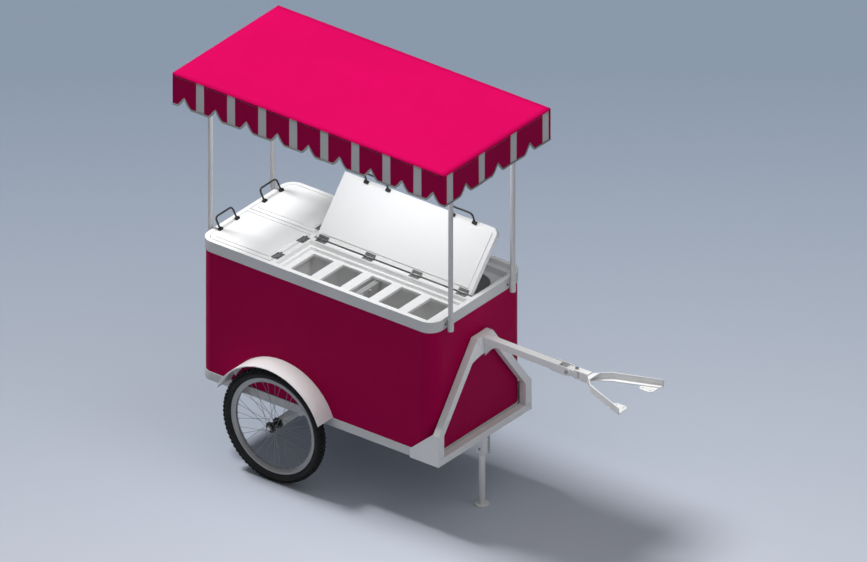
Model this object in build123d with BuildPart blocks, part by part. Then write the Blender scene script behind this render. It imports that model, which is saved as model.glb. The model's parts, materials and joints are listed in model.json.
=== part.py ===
from build123d import *
from math import atan2, ceil, cos, degrees, hypot, pi, radians, sin
import os

os.makedirs("parts", exist_ok=True)

# Driving dimensions in millimetres, +X forward to the bicycle, +Y left, +Z up from the ground

# Cabinet shell
CABINET_LENGTH = 1450
CABINET_WIDTH = 730
CORNER_RADIUS = 70
SKIN = 4
SEAM = 1
PROUD = 5
BAND_FIT = 0.2
TRAY_RISE = 78
TRAY_HEIGHT = 47
TRAY_FLOOR = 3
SHELL_HEIGHT = 724

# Counter
RIM_HEIGHT = 62
COUNTER_LIP = 2
RIM_WIDTH = 25
RAIL_WIDTH = 24
REAR_BAY_LENGTH = 400
FRONT_RAIL_OFFSET = 38
FLANGE = 4
TRAY_WALL = 2
TRAY_FIT = 0.3
SEAT_DEPTH = 28
SEAT_WIDTH = 28
PAN_STEP_DEPTH = 3
PAN_STEP_WIDTH = 4
PAN_LEDGE_DEPTH = 25
PAN_LEDGE_WIDTH = 14
PAN_DECK_DROP = 18
PAN_COUNT = 5
PAN_BAR = 56
PAN_REAR_BAR = 35
PAN_FRONT_BAR = 62
PAN_OUTER_STRIP = 48
PAN_INNER_STRIP = 22
PAN_LIP = 14
LEAST_CORNER = 6
TUB_DECK_DROP = 34
TUB_COUNT = 3
TUB_STRIP = 35
TUB_END = 146
TUB_SIDES = 36

# Wells and insulation
LINER_WALL = 2
LINER_RISE = 415
BIN_RISE = 255
FOAM = 30
PLATE_THICKNESS = 26
PLATE_DROP = 8
PLATE_INSET = 14
PLATE_FIN_GAP = 3
PLATE_FIN_DEPTH = 4
PLATE_FIN_COUNT = 3
STUB_DIAMETER = 12
STUB_SPACING = 60

# Lids, their hinges and handles
LID_GAP = 4
LID_REST = 0.4
LID_BORDER = 25
LID_PANEL_RISE = 5
LONG_LID_REVEAL = 14
LID_OPEN = 49
AXIS_RISE = 6
KNUCKLE_RADIUS = 5
KNUCKLE_LENGTH = 20
KNUCKLE_GAP = 0.5
KNUCKLE_SIDES = 8
HINGE_PIN_RADIUS = 2
BORE_SIDES = 12
RUNNING_FIT = 0.05
LEAF = 2
LEAF_WIDTH = 22
LEAF_CLEAR = 5.6
REAR_HINGE_SPACING = 205
LONG_HINGE_COUNT = 4
LONG_HINGE_END = 43
HANDLE_SPAN = 135
HANDLE_RISE = 60
HANDLE_LEAN = 33
HANDLE_BAR = 10
HANDLE_BEND = 20
HANDLE_EDGE = 12
HANDLE_END = 210
FOOT_LENGTH = 26
FOOT_WIDTH = 18
FOOT_HEIGHT = 12

# Canopy
CANOPY_END_REACH = 125
CANOPY_SIDE_REACH = 65
CANOPY_RISE = 917
VALANCE_HEIGHT = 178
CLOTH = 3
HEM_HEIGHT = 12
HEM_PROUD = 2
CANOPY_SEAM = 0.3
SIDE_NOTCHES = 9
SIDE_NOTCH_MARGIN = 76
END_NOTCHES = 3
END_NOTCH_MARGIN = 172
NOTCH_WIDTH = 90
NOTCH_HEIGHT = 52
NOTCH_STEPS = 3
FRAME_TUBE = 20
FRAME_INSET = 2
POLE_DIAMETER = 25
POLE_SIDES = 16
POLE_STANDOFF = 18
POLE_INSET = 114
SOCKET_DIAMETER = 32
SOCKET_SIDES = 12
SOCKET_DROP = 14
SOCKET_HEIGHT = 65
SOCKET_FLOOR = 4
SOCKET_PLATE = 4
SOCKET_PLATE_WIDTH = 64
SOCKET_PLATE_HEIGHT = 46
SOCKET_WEB = 16
BOLT_RADIUS = 5
BOLT_HEIGHT = 4
BOLT_SPACING = 50
POLE_SEAT = 0.3

# Wheels, axle and fenders
WHEEL_X = -215
WHEEL_STANDOFF = 61
RIM_INNER_DIAMETER = 470
RIM_DEPTH = 24.5
RIM_BED_DROP = 9.5
RIM_SECTION_WIDTH = 30
RIM_FLANGE = 2.5
TYRE_HEIGHT = 47.5
TYRE_WIDTH = 55
TREAD_FLAT = 22
TREAD_DROP = 6
BEAD_FIT = 0.3
SPOKES = 36
SPOKE_RADIUS = 1.2
SPOKE_SIDES = 4
SPOKE_CROSS = 52
SPOKE_STAGGER = 2.6
SPOKE_BITE = 1
FLANGE_DIAMETER = 60
FLANGE_SPACING = 58
FLANGE_THICKNESS = 3
SPOKE_CIRCLE = 52
HUB_BARREL = 34
HUB_LENGTH = 72
TURNED_SIDES = 24
BEARING_DIAMETER = 28
SPINDLE_DIAMETER = 15
AXLE_DIAMETER = 50
HUB_CLEAR = 0.5
AXLE_NUT_FLATS = 24
AXLE_NUT_HEIGHT = 11
SPINDLE_END = 3
FENDER_CLEAR = 36
FENDER_WIDTH = 121
FENDER_SHEET = 2
FENDER_START = 21.7
FENDER_FLANGE = 16
FENDER_CHORDS = 20

# Chassis and front frame
TUBE = 40
TUBE_WALL = 3
RAIL_INSET = 115
CHASSIS_END = 35
CROSS_MEMBERS = 4
CROSS_REAR = 125
CROSS_FRONT = 425
HANGER_LENGTH = 80
HANGER_WIDTH = 24
HANGER_GRIP = 10
FRONT_BEAM_DROP = 5
POST_RISE = 162
HEAD_RISE = 583
HEAD_WIDTH = 108
GUSSET = 6
SIDE_GUSSET_LENGTH = 180
SIDE_GUSSET_LOW = 50
SIDE_GUSSET_HIGH = 173
HEAD_GUSSET_DROP = 78
HEAD_GUSSET_ARC = 18
BAR_GUSSET_REACH = 61
BAR_GUSSET_DROP = 77

# Drawbar, coupling and fork
DRAWBAR_LENGTH = 470
CHEEK_LAP = 43
CHEEK = 5
CHEEK_HEIGHT = 46
PITCH_PIN_REACH = 54
YAW_PIN_REACH = 48
COUPLING_WIDTH = 38
PIN_RADIUS = 6
PIN_HEAD_RADIUS = 10
PIN_HEAD = 6
SIDE_PLAY = 0.5
CLEVIS_PLATE = 6
CLEVIS_RADIUS = 18
STEM_CLEAR = 26
STEM_LENGTH = 53
FORK_SPREAD = 72
FORK_ARM = 250
FORK_BEND_Y = 87
FORK_END_Y = 184
FORK_ROOT_Y = 18
FORK_WEB = 38
FORK_SHEET = 5
FORK_FLANGE = 30
FORK_CROWN = 30
END_PLATE_BACK = 51
END_PLATE_Y = 122
END_PLATE_LENGTH = 84
END_PLATE_WIDTH = 64
END_PLATE_CORNER = 24
END_PLATE = 4
END_HOLE_RADIUS = 4.5
END_HOLE_SPACING = 48
END_HOLE_INSET = 12

# Prop stand
STAND_BRACKET = 40
STAND_SHEET = 3
STAND_DROP = 88
STAND_PIVOT_DROP = 57
LEG_DIAMETER = 33
LEG_EYE = 28
FOOT_DIAMETER = 73
FOOT_THICKNESS = 8
STAND_BOLT_RADIUS = 4
STAND_BOLT_HEAD = 7
STAND_BOLT_HEAD_HEIGHT = 5
SPRING_STANDOFF = 32
SPRING_DIAMETER = 18
SPRING_WIRE = 3.2
SPRING_TURNS = 8
SPRING_ARM = 49
SPRING_HOOK_RISE = 9
TURN_CHORDS = 10
HOOK_CHORDS = 4
HOOK_FIT = 0.3
WIRE_SIDES = 4
STUD_RADIUS = 3
STUD_SIDES = 8
STUD_END = 5
SAMPLES_PER_TURN = 40
NEAR_WIRES = 3
HEXAGON = 6

# Heights, upwards from the ground
RIM_DIAMETER = RIM_INNER_DIAMETER + 2 * RIM_DEPTH
TYRE_DIAMETER = RIM_DIAMETER + 2 * TYRE_HEIGHT
FENDER_RADIUS = TYRE_DIAMETER / 2 + FENDER_CLEAR
WHEEL_Z = TYRE_DIAMETER / 2
TRAY_BOTTOM = WHEEL_Z + TRAY_RISE
SHELL_FLOOR = TRAY_BOTTOM + TRAY_FLOOR
RAIL_BOTTOM = TRAY_BOTTOM - TUBE
LINER_FLOOR = TRAY_BOTTOM + LINER_RISE
BIN_FLOOR = TRAY_BOTTOM + BIN_RISE
RIM_BOTTOM = TRAY_BOTTOM + SHELL_HEIGHT
COUNTER_TOP = RIM_BOTTOM + RIM_HEIGHT
SEAT_TOP = COUNTER_TOP - SEAT_DEPTH
PAN_LEDGE_TOP = COUNTER_TOP - PAN_STEP_DEPTH - PAN_LEDGE_DEPTH
PAN_DECK_TOP = PAN_LEDGE_TOP - PAN_DECK_DROP
TUB_DECK_TOP = SEAT_TOP - TUB_DECK_DROP
SOCKET_BOTTOM = RIM_BOTTOM - SOCKET_DROP
CANOPY_TOP = COUNTER_TOP + CANOPY_RISE
FRONT_BEAM_BOTTOM = TRAY_BOTTOM - FRONT_BEAM_DROP
POST_TOP = TRAY_BOTTOM + POST_RISE
HEAD_TOP = TRAY_BOTTOM + HEAD_RISE
DRAWBAR_Z = HEAD_TOP - TUBE / 2
STAND_PIVOT_Z = FRONT_BEAM_BOTTOM - STAND_PIVOT_DROP

# Lengths, forwards from the middle of the cabinet
HALF_LENGTH = CABINET_LENGTH / 2
POLE_X = HALF_LENGTH + PROUD + POLE_STANDOFF
CANOPY_LENGTH = CABINET_LENGTH + 2 * CANOPY_END_REACH
DRAWBAR_END = HALF_LENGTH + PROUD + TUBE + DRAWBAR_LENGTH
CHEEK_START = DRAWBAR_END - CHEEK_LAP
PITCH_PIN_X = DRAWBAR_END + PITCH_PIN_REACH
YAW_PIN_X = PITCH_PIN_X + YAW_PIN_REACH
STEM_START = YAW_PIN_X + STEM_CLEAR
STEM_END = STEM_START + STEM_LENGTH
FORK_BEND_X = STEM_END + FORK_SPREAD
FORK_REACH = FORK_BEND_X + FORK_ARM
END_PLATE_X = FORK_REACH - END_PLATE_BACK
CHASSIS_REAR = CHASSIS_END - HALF_LENGTH
CROSS_FIRST = CROSS_REAR - HALF_LENGTH
CROSS_PITCH = (CABINET_LENGTH - CROSS_REAR - CROSS_FRONT) / (CROSS_MEMBERS - 1)
SIDE_NOTCH_PITCH = (CANOPY_LENGTH - 2 * SIDE_NOTCH_MARGIN) / (SIDE_NOTCHES - 1)

# Widths, out from the centre plane
HALF_WIDTH = CABINET_WIDTH / 2
WHEEL_Y = HALF_WIDTH + WHEEL_STANDOFF
RAIL_Y = HALF_WIDTH - RAIL_INSET
POLE_Y = HALF_WIDTH - POLE_INSET
GUSSET_Y = HALF_WIDTH + PROUD
CANOPY_WIDTH = CABINET_WIDTH + 2 * CANOPY_SIDE_REACH
END_NOTCH_PITCH = (CANOPY_WIDTH - 2 * END_NOTCH_MARGIN) / (END_NOTCHES - 1)

# Places in the shared frame, with the ground under the middle of the whole at the origin
CABINET_X = -(FORK_REACH - CANOPY_LENGTH / 2) / 2
AXLE_X = CABINET_X + WHEEL_X
FRONT_FACE = CABINET_X + HALF_LENGTH + PROUD
FRAME_X = (FRONT_FACE, FRONT_FACE + TUBE)
FRAME_MID = FRONT_FACE + TUBE / 2
INNER_LENGTH = CABINET_LENGTH + 2 * PROUD - 2 * RIM_WIDTH
INNER_WIDTH = CABINET_WIDTH + 2 * PROUD - 2 * RIM_WIDTH
INNER_RADIUS = CORNER_RADIUS + PROUD - RIM_WIDTH
BAY_REAR = CABINET_X - INNER_LENGTH / 2
BAY_FRONT = CABINET_X + INNER_LENGTH / 2
REAR_BAY_END = BAY_REAR + REAR_BAY_LENGTH
RAIL_HALF = RAIL_WIDTH / 2
REAR_X = (BAY_REAR, REAR_BAY_END)
FRONT_X = (REAR_BAY_END + RAIL_WIDTH, BAY_FRONT)
RIGHT_Y = (-INNER_WIDTH / 2, -RAIL_HALF)
LEFT_Y = (RAIL_HALF, INNER_WIDTH / 2)
PAN_Y = (-INNER_WIDTH / 2, -FRONT_RAIL_OFFSET - RAIL_HALF)
TUB_Y = (RAIL_HALF - FRONT_RAIL_OFFSET, INNER_WIDTH / 2)
PAN_OPENING_INSET = PAN_STEP_WIDTH + PAN_LEDGE_WIDTH
TUB_OPENING_INSET = SEAT_WIDTH + TRAY_FIT + TRAY_WALL
SIDES = {"right": -1, "left": 1}

# Pan and tub holes, from what their bays leave between the bars and strips
PAN_START = FRONT_X[0] + PAN_OPENING_INSET + PAN_REAR_BAR
PAN_FINISH = FRONT_X[1] - PAN_OPENING_INSET - PAN_FRONT_BAR
PAN_PITCH = (PAN_FINISH - PAN_START + PAN_BAR) / PAN_COUNT
PAN_HOLE_LENGTH = PAN_PITCH - PAN_BAR
PAN_OUTER = PAN_Y[0] + PAN_OPENING_INSET + PAN_OUTER_STRIP
PAN_INNER = PAN_Y[1] - PAN_OPENING_INSET - PAN_INNER_STRIP
PAN_HOLE_WIDTH = PAN_INNER - PAN_OUTER
PAN_ROW = ((PAN_START + PAN_FINISH) / 2, (PAN_OUTER + PAN_INNER) / 2)
TUB_DIAMETER = TUB_Y[1] - TUB_Y[0] - 2 * (TUB_OPENING_INSET + TUB_STRIP)
TUB_PITCH = (FRONT_X[1] - FRONT_X[0] - 2 * (TUB_OPENING_INSET + TUB_END)) / (TUB_COUNT - 1)
TUB_ROW = (sum(FRONT_X) / 2, sum(TUB_Y) / 2)


def save(piece, name):
    """Label a finished piece and write it"""
    piece.part.label = name
    export_step(piece.part, f"parts/{name}.step")


def block(x, y, z, mode=Mode.ADD):
    """A box between two limits on each axis of the current workplane"""
    with Locations((sum(x) / 2, sum(y) / 2, sum(z) / 2)):
        Box(x[1] - x[0], y[1] - y[0], z[1] - z[0], mode=mode)


def grown(limits, margin):
    """Two limits moved apart by a margin on each side"""
    return (limits[0] - margin, limits[1] + margin)


def about(middle, width):
    """Two limits a width apart about a middle"""
    return (middle - width / 2, middle + width / 2)


def sided(side, inner, outer):
    """Two limits on one side of the centre plane, in rising order"""
    return tuple(sorted((side * inner, side * outer)))


def outline(z, margin=0):
    """The cabinet's rounded outline at a height, moved out by a margin"""
    with BuildSketch(Plane((CABINET_X, 0, z))) as plan:
        RectangleRounded(CABINET_LENGTH + 2 * margin, CABINET_WIDTH + 2 * margin, CORNER_RADIUS + margin)
    return plan.sketch


def bay(x, y, z, inset=0):
    """One counter opening at a height, drawn in by an inset, with its outer corner rounded"""
    with BuildSketch(Plane((0, 0, z))) as plan:
        with Locations((sum(x) / 2, sum(y) / 2)):
            Rectangle(x[1] - x[0] - 2 * inset, y[1] - y[0] - 2 * inset)
        with Locations((CABINET_X, 0)):
            RectangleRounded(
                INNER_LENGTH - 2 * inset,
                INNER_WIDTH - 2 * inset,
                max(INNER_RADIUS - inset, LEAST_CORNER),
                mode=Mode.INTERSECT,
            )
    return plan.sketch


def chain_offset(points, distance):
    """A chain of points moved sideways to its left, mitred at the corners"""
    headings = []
    for (x0, y0), (x1, y1) in zip(points, points[1:]):
        headings.append(atan2(y1 - y0, x1 - x0))
    moved = []
    for index, (x, y) in enumerate(points):
        before = headings[max(index - 1, 0)]
        after = headings[min(index, len(headings) - 1)]
        middle = (before + after) / 2
        reach = distance / cos((after - before) / 2)
        moved.append((x - reach * sin(middle), y + reach * cos(middle)))
    return moved


# Base tray with an upturned edge
with BuildPart() as base_tray:
    extrude(outline(TRAY_BOTTOM, PROUD), amount=TRAY_HEIGHT)
    extrude(outline(SHELL_FLOOR, BAND_FIT), amount=TRAY_HEIGHT, mode=Mode.SUBTRACT)
save(base_tray, "base_tray")

# Flat side and end panels, with rounded posts at the corners
PANEL_Z = (SHELL_FLOOR, RIM_BOTTOM)
FLAT_X = about(CABINET_X, CABINET_LENGTH - 2 * CORNER_RADIUS - SEAM)
FLAT_Y = about(0, CABINET_WIDTH - 2 * CORNER_RADIUS - SEAM)
with BuildPart() as side_panels:
    for side in SIDES.values():
        block(FLAT_X, sided(side, HALF_WIDTH - SKIN, HALF_WIDTH), PANEL_Z)
save(side_panels, "side_panels")

with BuildPart() as end_panels:
    for end in (-1, 1):
        block(about(CABINET_X + end * (HALF_LENGTH - SKIN / 2), SKIN), FLAT_Y, PANEL_Z)
save(end_panels, "end_panels")

with BuildPart() as corner_posts:
    extrude(outline(SHELL_FLOOR), amount=RIM_BOTTOM - SHELL_FLOOR)
    extrude(outline(SHELL_FLOOR, -SKIN), amount=RIM_BOTTOM - SHELL_FLOOR, mode=Mode.SUBTRACT)
    block(grown(FLAT_X, SEAM), about(0, 2 * CABINET_WIDTH), PANEL_Z, Mode.SUBTRACT)
    block(about(CABINET_X, 2 * CABINET_LENGTH), grown(FLAT_Y, SEAM), PANEL_Z, Mode.SUBTRACT)
save(corner_posts, "corner_posts")

# Counter frame with stepped openings for the lids and the trays
LIDDED_BAYS = ((REAR_X, RIGHT_Y), (REAR_X, LEFT_Y), (FRONT_X, TUB_Y))
with BuildPart() as counter_frame:
    extrude(outline(RIM_BOTTOM), amount=RIM_HEIGHT)
    extrude(outline(COUNTER_TOP - COUNTER_LIP, PROUD), amount=COUNTER_LIP)
    for bay_x, bay_y in LIDDED_BAYS:
        extrude(bay(bay_x, bay_y, SEAT_TOP - FLANGE), amount=RIM_HEIGHT, mode=Mode.SUBTRACT)
        extrude(bay(bay_x, bay_y, RIM_BOTTOM, SEAT_WIDTH), amount=RIM_HEIGHT, mode=Mode.SUBTRACT)
    for floor, inset in (
        (COUNTER_TOP - PAN_STEP_DEPTH, 0),
        (PAN_LEDGE_TOP - FLANGE, PAN_STEP_WIDTH),
        (RIM_BOTTOM, PAN_OPENING_INSET),
    ):
        extrude(bay(FRONT_X, PAN_Y, floor, inset), amount=RIM_HEIGHT, mode=Mode.SUBTRACT)
save(counter_frame, "counter_frame")

with BuildPart() as rim_band:
    extrude(outline(RIM_BOTTOM, PROUD), amount=RIM_HEIGHT - COUNTER_LIP)
    extrude(outline(RIM_BOTTOM, BAND_FIT), amount=RIM_HEIGHT, mode=Mode.SUBTRACT)
save(rim_band, "rim_band")

# Pan tray: a dropped deck with one lipped hole for each ice cream pan
with BuildPart() as pan_tray:
    extrude(bay(FRONT_X, PAN_Y, PAN_LEDGE_TOP - FLANGE, PAN_STEP_WIDTH + TRAY_FIT), amount=FLANGE)
    extrude(
        bay(FRONT_X, PAN_Y, PAN_DECK_TOP - TRAY_WALL, PAN_OPENING_INSET + TRAY_FIT),
        amount=PAN_DECK_DROP,
    )
    extrude(
        bay(FRONT_X, PAN_Y, PAN_DECK_TOP, PAN_OPENING_INSET + TRAY_FIT + TRAY_WALL),
        amount=RIM_HEIGHT,
        mode=Mode.SUBTRACT,
    )
    for margin, mode in ((TRAY_WALL, Mode.ADD), (0, Mode.SUBTRACT)):
        with BuildSketch(Plane((*PAN_ROW, PAN_DECK_TOP - PAN_LIP))) as holes:
            with GridLocations(PAN_PITCH, PAN_HOLE_WIDTH, PAN_COUNT, 1):
                Rectangle(PAN_HOLE_LENGTH + 2 * margin, PAN_HOLE_WIDTH + 2 * margin)
        extrude(holes.sketch, amount=PAN_LIP, mode=mode)
save(pan_tray, "pan_tray")

# Tub tray: a deeper deck with round holes for tubs
with BuildPart() as tub_tray:
    extrude(bay(FRONT_X, TUB_Y, SEAT_TOP - FLANGE, TRAY_FIT), amount=FLANGE)
    extrude(
        bay(FRONT_X, TUB_Y, TUB_DECK_TOP - TRAY_WALL, SEAT_WIDTH + TRAY_FIT),
        amount=TUB_DECK_DROP,
    )
    extrude(bay(FRONT_X, TUB_Y, TUB_DECK_TOP, TUB_OPENING_INSET), amount=RIM_HEIGHT, mode=Mode.SUBTRACT)
    with BuildSketch(Plane((*TUB_ROW, TUB_DECK_TOP))):
        with GridLocations(TUB_PITCH, TUB_DIAMETER, TUB_COUNT, 1):
            RegularPolygon(TUB_DIAMETER / 2, TUB_SIDES)
    extrude(amount=-TRAY_WALL, mode=Mode.SUBTRACT)
save(tub_tray, "tub_tray")

# Cold wells under the two trays
PAN_WELL_INSET = PAN_OPENING_INSET - LINER_WALL
TUB_WELL_INSET = SEAT_WIDTH - LINER_WALL
WELL_DEPTH = RIM_BOTTOM - LINER_FLOOR
with BuildPart() as liners:
    for bay_y, inset in ((PAN_Y, PAN_WELL_INSET), (TUB_Y, TUB_WELL_INSET)):
        extrude(bay(FRONT_X, bay_y, LINER_FLOOR, inset), amount=WELL_DEPTH)
        extrude(
            bay(FRONT_X, bay_y, LINER_FLOOR + LINER_WALL, inset + LINER_WALL),
            amount=WELL_DEPTH,
            mode=Mode.SUBTRACT,
        )
save(liners, "liners")

# Two flanged storage bins under the rear lids
with BuildPart() as rear_bins:
    for bay_y in (RIGHT_Y, LEFT_Y):
        extrude(bay(REAR_X, bay_y, SEAT_TOP - FLANGE, TRAY_FIT), amount=FLANGE)
        extrude(bay(REAR_X, bay_y, BIN_FLOOR, SEAT_WIDTH + TRAY_FIT), amount=SEAT_TOP - BIN_FLOOR)
        extrude(
            bay(REAR_X, bay_y, BIN_FLOOR + LINER_WALL, SEAT_WIDTH + TRAY_FIT + LINER_WALL),
            amount=SEAT_TOP - BIN_FLOOR,
            mode=Mode.SUBTRACT,
        )
save(rear_bins, "rear_bins")

# Insulation boards against the inside of the shell
FOAM_OUTER = -SKIN - BAND_FIT
with BuildPart() as insulation:
    extrude(outline(SHELL_FLOOR, FOAM_OUTER), amount=RIM_BOTTOM - SHELL_FLOOR)
    extrude(
        outline(SHELL_FLOOR + FOAM, FOAM_OUTER - FOAM),
        amount=RIM_BOTTOM - SHELL_FLOOR,
        mode=Mode.SUBTRACT,
    )
save(insulation, "insulation")

# Cold plate standing in the pan well under the third hole, with grooved top and two pipe stubs
PLATE_X = PAN_ROW[0] - PAN_HOLE_LENGTH / 2 + PLATE_INSET + PLATE_THICKNESS / 2
PLATE_Y = grown(PAN_Y, -PAN_OPENING_INSET - TRAY_FIT)
PLATE_TOP = PAN_DECK_TOP - PAN_LIP - PLATE_DROP
with BuildPart() as cold_plate:
    block(about(PLATE_X, PLATE_THICKNESS), PLATE_Y, (LINER_FLOOR + LINER_WALL, PLATE_TOP))
    with BuildSketch(Plane((PLATE_X, sum(PLATE_Y) / 2, PLATE_TOP))):
        with GridLocations(2 * PLATE_FIN_GAP, PLATE_THICKNESS, PLATE_FIN_COUNT, 1):
            Rectangle(PLATE_FIN_GAP, PLATE_Y[1] - PLATE_Y[0])
    extrude(amount=-PLATE_FIN_DEPTH, mode=Mode.SUBTRACT)
    stub_x = PLATE_X + PLATE_THICKNESS / 2
    stub_z = PLATE_TOP - STUB_DIAMETER
    with BuildSketch(Plane((stub_x, sum(PLATE_Y) / 2, stub_z), x_dir=(0, 1, 0), z_dir=(1, 0, 0))):
        with GridLocations(STUB_SPACING, STUB_SPACING, 2, 1):
            RegularPolygon(STUB_DIAMETER / 2, STUD_SIDES)
    extrude(amount=STUB_DIAMETER)
save(cold_plate, "cold_plate")


# Lid planes: local x along the hinge, y from the hinge to the free edge, z out of the lid's top
def lid_plane(origin, x_dir, y_dir):
    """A workplane on a hinge axis, facing out of the lid's top"""
    return Plane(origin, x_dir=x_dir, z_dir=Vector(x_dir).cross(Vector(y_dir)))


def shifted(plane, place, turn=(0, 0, 0)):
    """A workplane moved and turned in its own coordinates"""
    return Plane(plane.location * Location(place, turn))


LID_THICKNESS = SEAT_DEPTH - LID_REST
HINGE_Z = COUNTER_TOP + AXIS_RISE
REAR_LID_DEPTH = REAR_BAY_LENGTH - LID_GAP
REAR_LID_LENGTH = INNER_WIDTH / 2 - RAIL_HALF - 2 * LID_GAP
LONG_LID_LENGTH = FRONT_X[1] - FRONT_X[0] - 2 * LONG_LID_REVEAL
LONG_LID_DEPTH = TUB_Y[1] - TUB_Y[0] - LONG_LID_REVEAL
REAR_LID_CORNER = INNER_RADIUS - LID_GAP
LONG_LID_CORNER = INNER_RADIUS - LONG_LID_REVEAL
OPEN_Y = (0, cos(radians(LID_OPEN)), sin(radians(LID_OPEN)))
LONG_HINGE = (sum(FRONT_X) / 2, TUB_Y[0], HINGE_Z)
LONG_PLANE = lid_plane(LONG_HINGE, (1, 0, 0), OPEN_Y)
LONG_BASE_PLANE = lid_plane(LONG_HINGE, (1, 0, 0), (0, 1, 0))
REAR_PLANES = {
    name: lid_plane((REAR_BAY_END, side * sum(LEFT_Y) / 2, HINGE_Z), (0, 1, 0), (-1, 0, 0))
    for name, side in SIDES.items()
}
LONG_HINGE_PITCH = (LONG_LID_LENGTH - 2 * LONG_HINGE_END) / (LONG_HINGE_COUNT - 1)
LONG_HINGE_START = LONG_HINGE_END - LONG_LID_LENGTH / 2
LONG_HINGE_X = [LONG_HINGE_START + index * LONG_HINGE_PITCH for index in range(LONG_HINGE_COUNT)]
REAR_HINGE_X = [-REAR_HINGE_SPACING / 2, REAR_HINGE_SPACING / 2]
HINGE_BORE = (HINGE_PIN_RADIUS + RUNNING_FIT) / cos(pi / BORE_SIDES)
OUTER_KNUCKLE = KNUCKLE_LENGTH + KNUCKLE_GAP
HINGE_LENGTH = KNUCKLE_LENGTH + 2 * OUTER_KNUCKLE


def lid_outline(plane, length, depth, corner_radius, rounded_end, margin=0):
    """A lid's outline seen from above, drawn in by a margin, with its outer free corner rounded"""
    with BuildSketch(plane.offset(-AXIS_RISE)) as face:
        with Locations((0, (LID_GAP + depth) / 2)):
            Rectangle(length - 2 * margin, depth - LID_GAP - 2 * margin)
        corner = face.vertices().sort_by(lambda point: rounded_end * point.X + point.Y)[-1]
        fillet(corner, max(corner_radius - margin, LEAST_CORNER))
    return face.sketch


def lid_body(plane, length, depth, corner_radius, rounded_end):
    """An insulated lid with a raised panel inside its border"""
    with BuildPart() as body:
        extrude(lid_outline(plane, length, depth, corner_radius, rounded_end), amount=-LID_THICKNESS)
        panel = lid_outline(plane, length, depth, corner_radius, rounded_end, LID_BORDER)
        extrude(panel, amount=LID_PANEL_RISE)
    return body


def across_hinge(plane, x):
    """A workplane across the hinge axis of a lid plane"""
    return shifted(plane, (x, 0, 0), (0, 90, 0))


def barrel(plane, x, radius, length, sides, mode=Mode.ADD):
    """A many-sided bar along the hinge axis of a lid plane"""
    with BuildSketch(across_hinge(plane, x)) as section:
        RegularPolygon(radius, sides)
    extrude(section.sketch, amount=length / 2, both=True, mode=mode)


def moving_leaves(plane, places):
    """The leaves that turn with a lid, each with one middle knuckle"""
    leaf_z = (-AXIS_RISE, LEAF - AXIS_RISE)
    with BuildPart(plane) as leaves:
        for x in places:
            block(about(x, HINGE_LENGTH), (LEAF_CLEAR, LEAF_WIDTH), leaf_z)
            block(about(x, KNUCKLE_LENGTH), (0, LEAF_CLEAR), leaf_z)
            barrel(plane, x, KNUCKLE_RADIUS, KNUCKLE_LENGTH, KNUCKLE_SIDES)
            barrel(plane, x, HINGE_BORE, KNUCKLE_LENGTH, BORE_SIDES, Mode.SUBTRACT)
    return leaves


def lid_handle(plane, depth, places):
    """Bow handles that lean out over the free edge, on two feet each"""
    lean = degrees(atan2(HANDLE_LEAN, HANDLE_RISE))
    reach = hypot(HANDLE_LEAN, HANDLE_RISE)
    half = HANDLE_SPAN / 2
    with BuildPart() as handles:
        for x in places:
            base = shifted(plane, (x, depth - HANDLE_EDGE, -AXIS_RISE))
            bow = shifted(base, (0, 0, 0), (90 - lean, 0, 0))
            with BuildLine(bow) as path:
                Polyline(
                    (-half, 0),
                    (-half, reach - HANDLE_BEND),
                    (HANDLE_BEND - half, reach),
                    (half - HANDLE_BEND, reach),
                    (half, reach - HANDLE_BEND),
                    (half, 0),
                )
            with BuildSketch(Plane(path.line @ 0, z_dir=path.line % 0)):
                RegularPolygon(HANDLE_BAR / 2, HEXAGON)
            sweep(path=path.line, transition=Transition.RIGHT)
            with Locations(base):
                with Locations((-half, 0, FOOT_HEIGHT / 2), (half, 0, FOOT_HEIGHT / 2)):
                    Box(FOOT_LENGTH, FOOT_WIDTH, FOOT_HEIGHT)
            with Locations(base):
                with Locations((0, 0, -FOOT_HEIGHT / 2)):
                    Box(2 * HANDLE_SPAN, 2 * FOOT_WIDTH, FOOT_HEIGHT, mode=Mode.SUBTRACT)
    return handles


for name, plane in REAR_PLANES.items():
    save(lid_body(plane, REAR_LID_LENGTH, REAR_LID_DEPTH, REAR_LID_CORNER, SIDES[name]), f"rear_lid_{name}")
    save(moving_leaves(plane, REAR_HINGE_X), f"rear_lid_{name}_leaves")
    save(lid_handle(plane, REAR_LID_DEPTH, [0]), f"rear_lid_{name}_handle")

LONG_HANDLE_X = LONG_LID_LENGTH / 2 - HANDLE_END
save(lid_body(LONG_PLANE, LONG_LID_LENGTH, LONG_LID_DEPTH, LONG_LID_CORNER, 1), "long_lid")
save(moving_leaves(LONG_PLANE, LONG_HINGE_X), "long_lid_leaves")
save(lid_handle(LONG_PLANE, LONG_LID_DEPTH, [-LONG_HANDLE_X, LONG_HANDLE_X]), "long_lid_handles")

# Fixed leaves on the rails, two knuckles each, and the pins that they hold
HINGE_ROWS = [(LONG_BASE_PLANE, LONG_HINGE_X)]
HINGE_ROWS += [(plane, REAR_HINGE_X) for plane in REAR_PLANES.values()]
with BuildPart() as hinge_bases:
    base_z = (-AXIS_RISE, LEAF - AXIS_RISE)
    for plane, places in HINGE_ROWS:
        for x in places:
            with Locations(plane):
                block(about(x, HINGE_LENGTH), (-LEAF_WIDTH, -LEAF_CLEAR), base_z)
            for end in (-OUTER_KNUCKLE, OUTER_KNUCKLE):
                with Locations(plane):
                    block(about(x + end, KNUCKLE_LENGTH), (-LEAF_CLEAR, 0), base_z)
                barrel(plane, x + end, KNUCKLE_RADIUS, KNUCKLE_LENGTH, KNUCKLE_SIDES)
save(hinge_bases, "hinge_bases")

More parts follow.
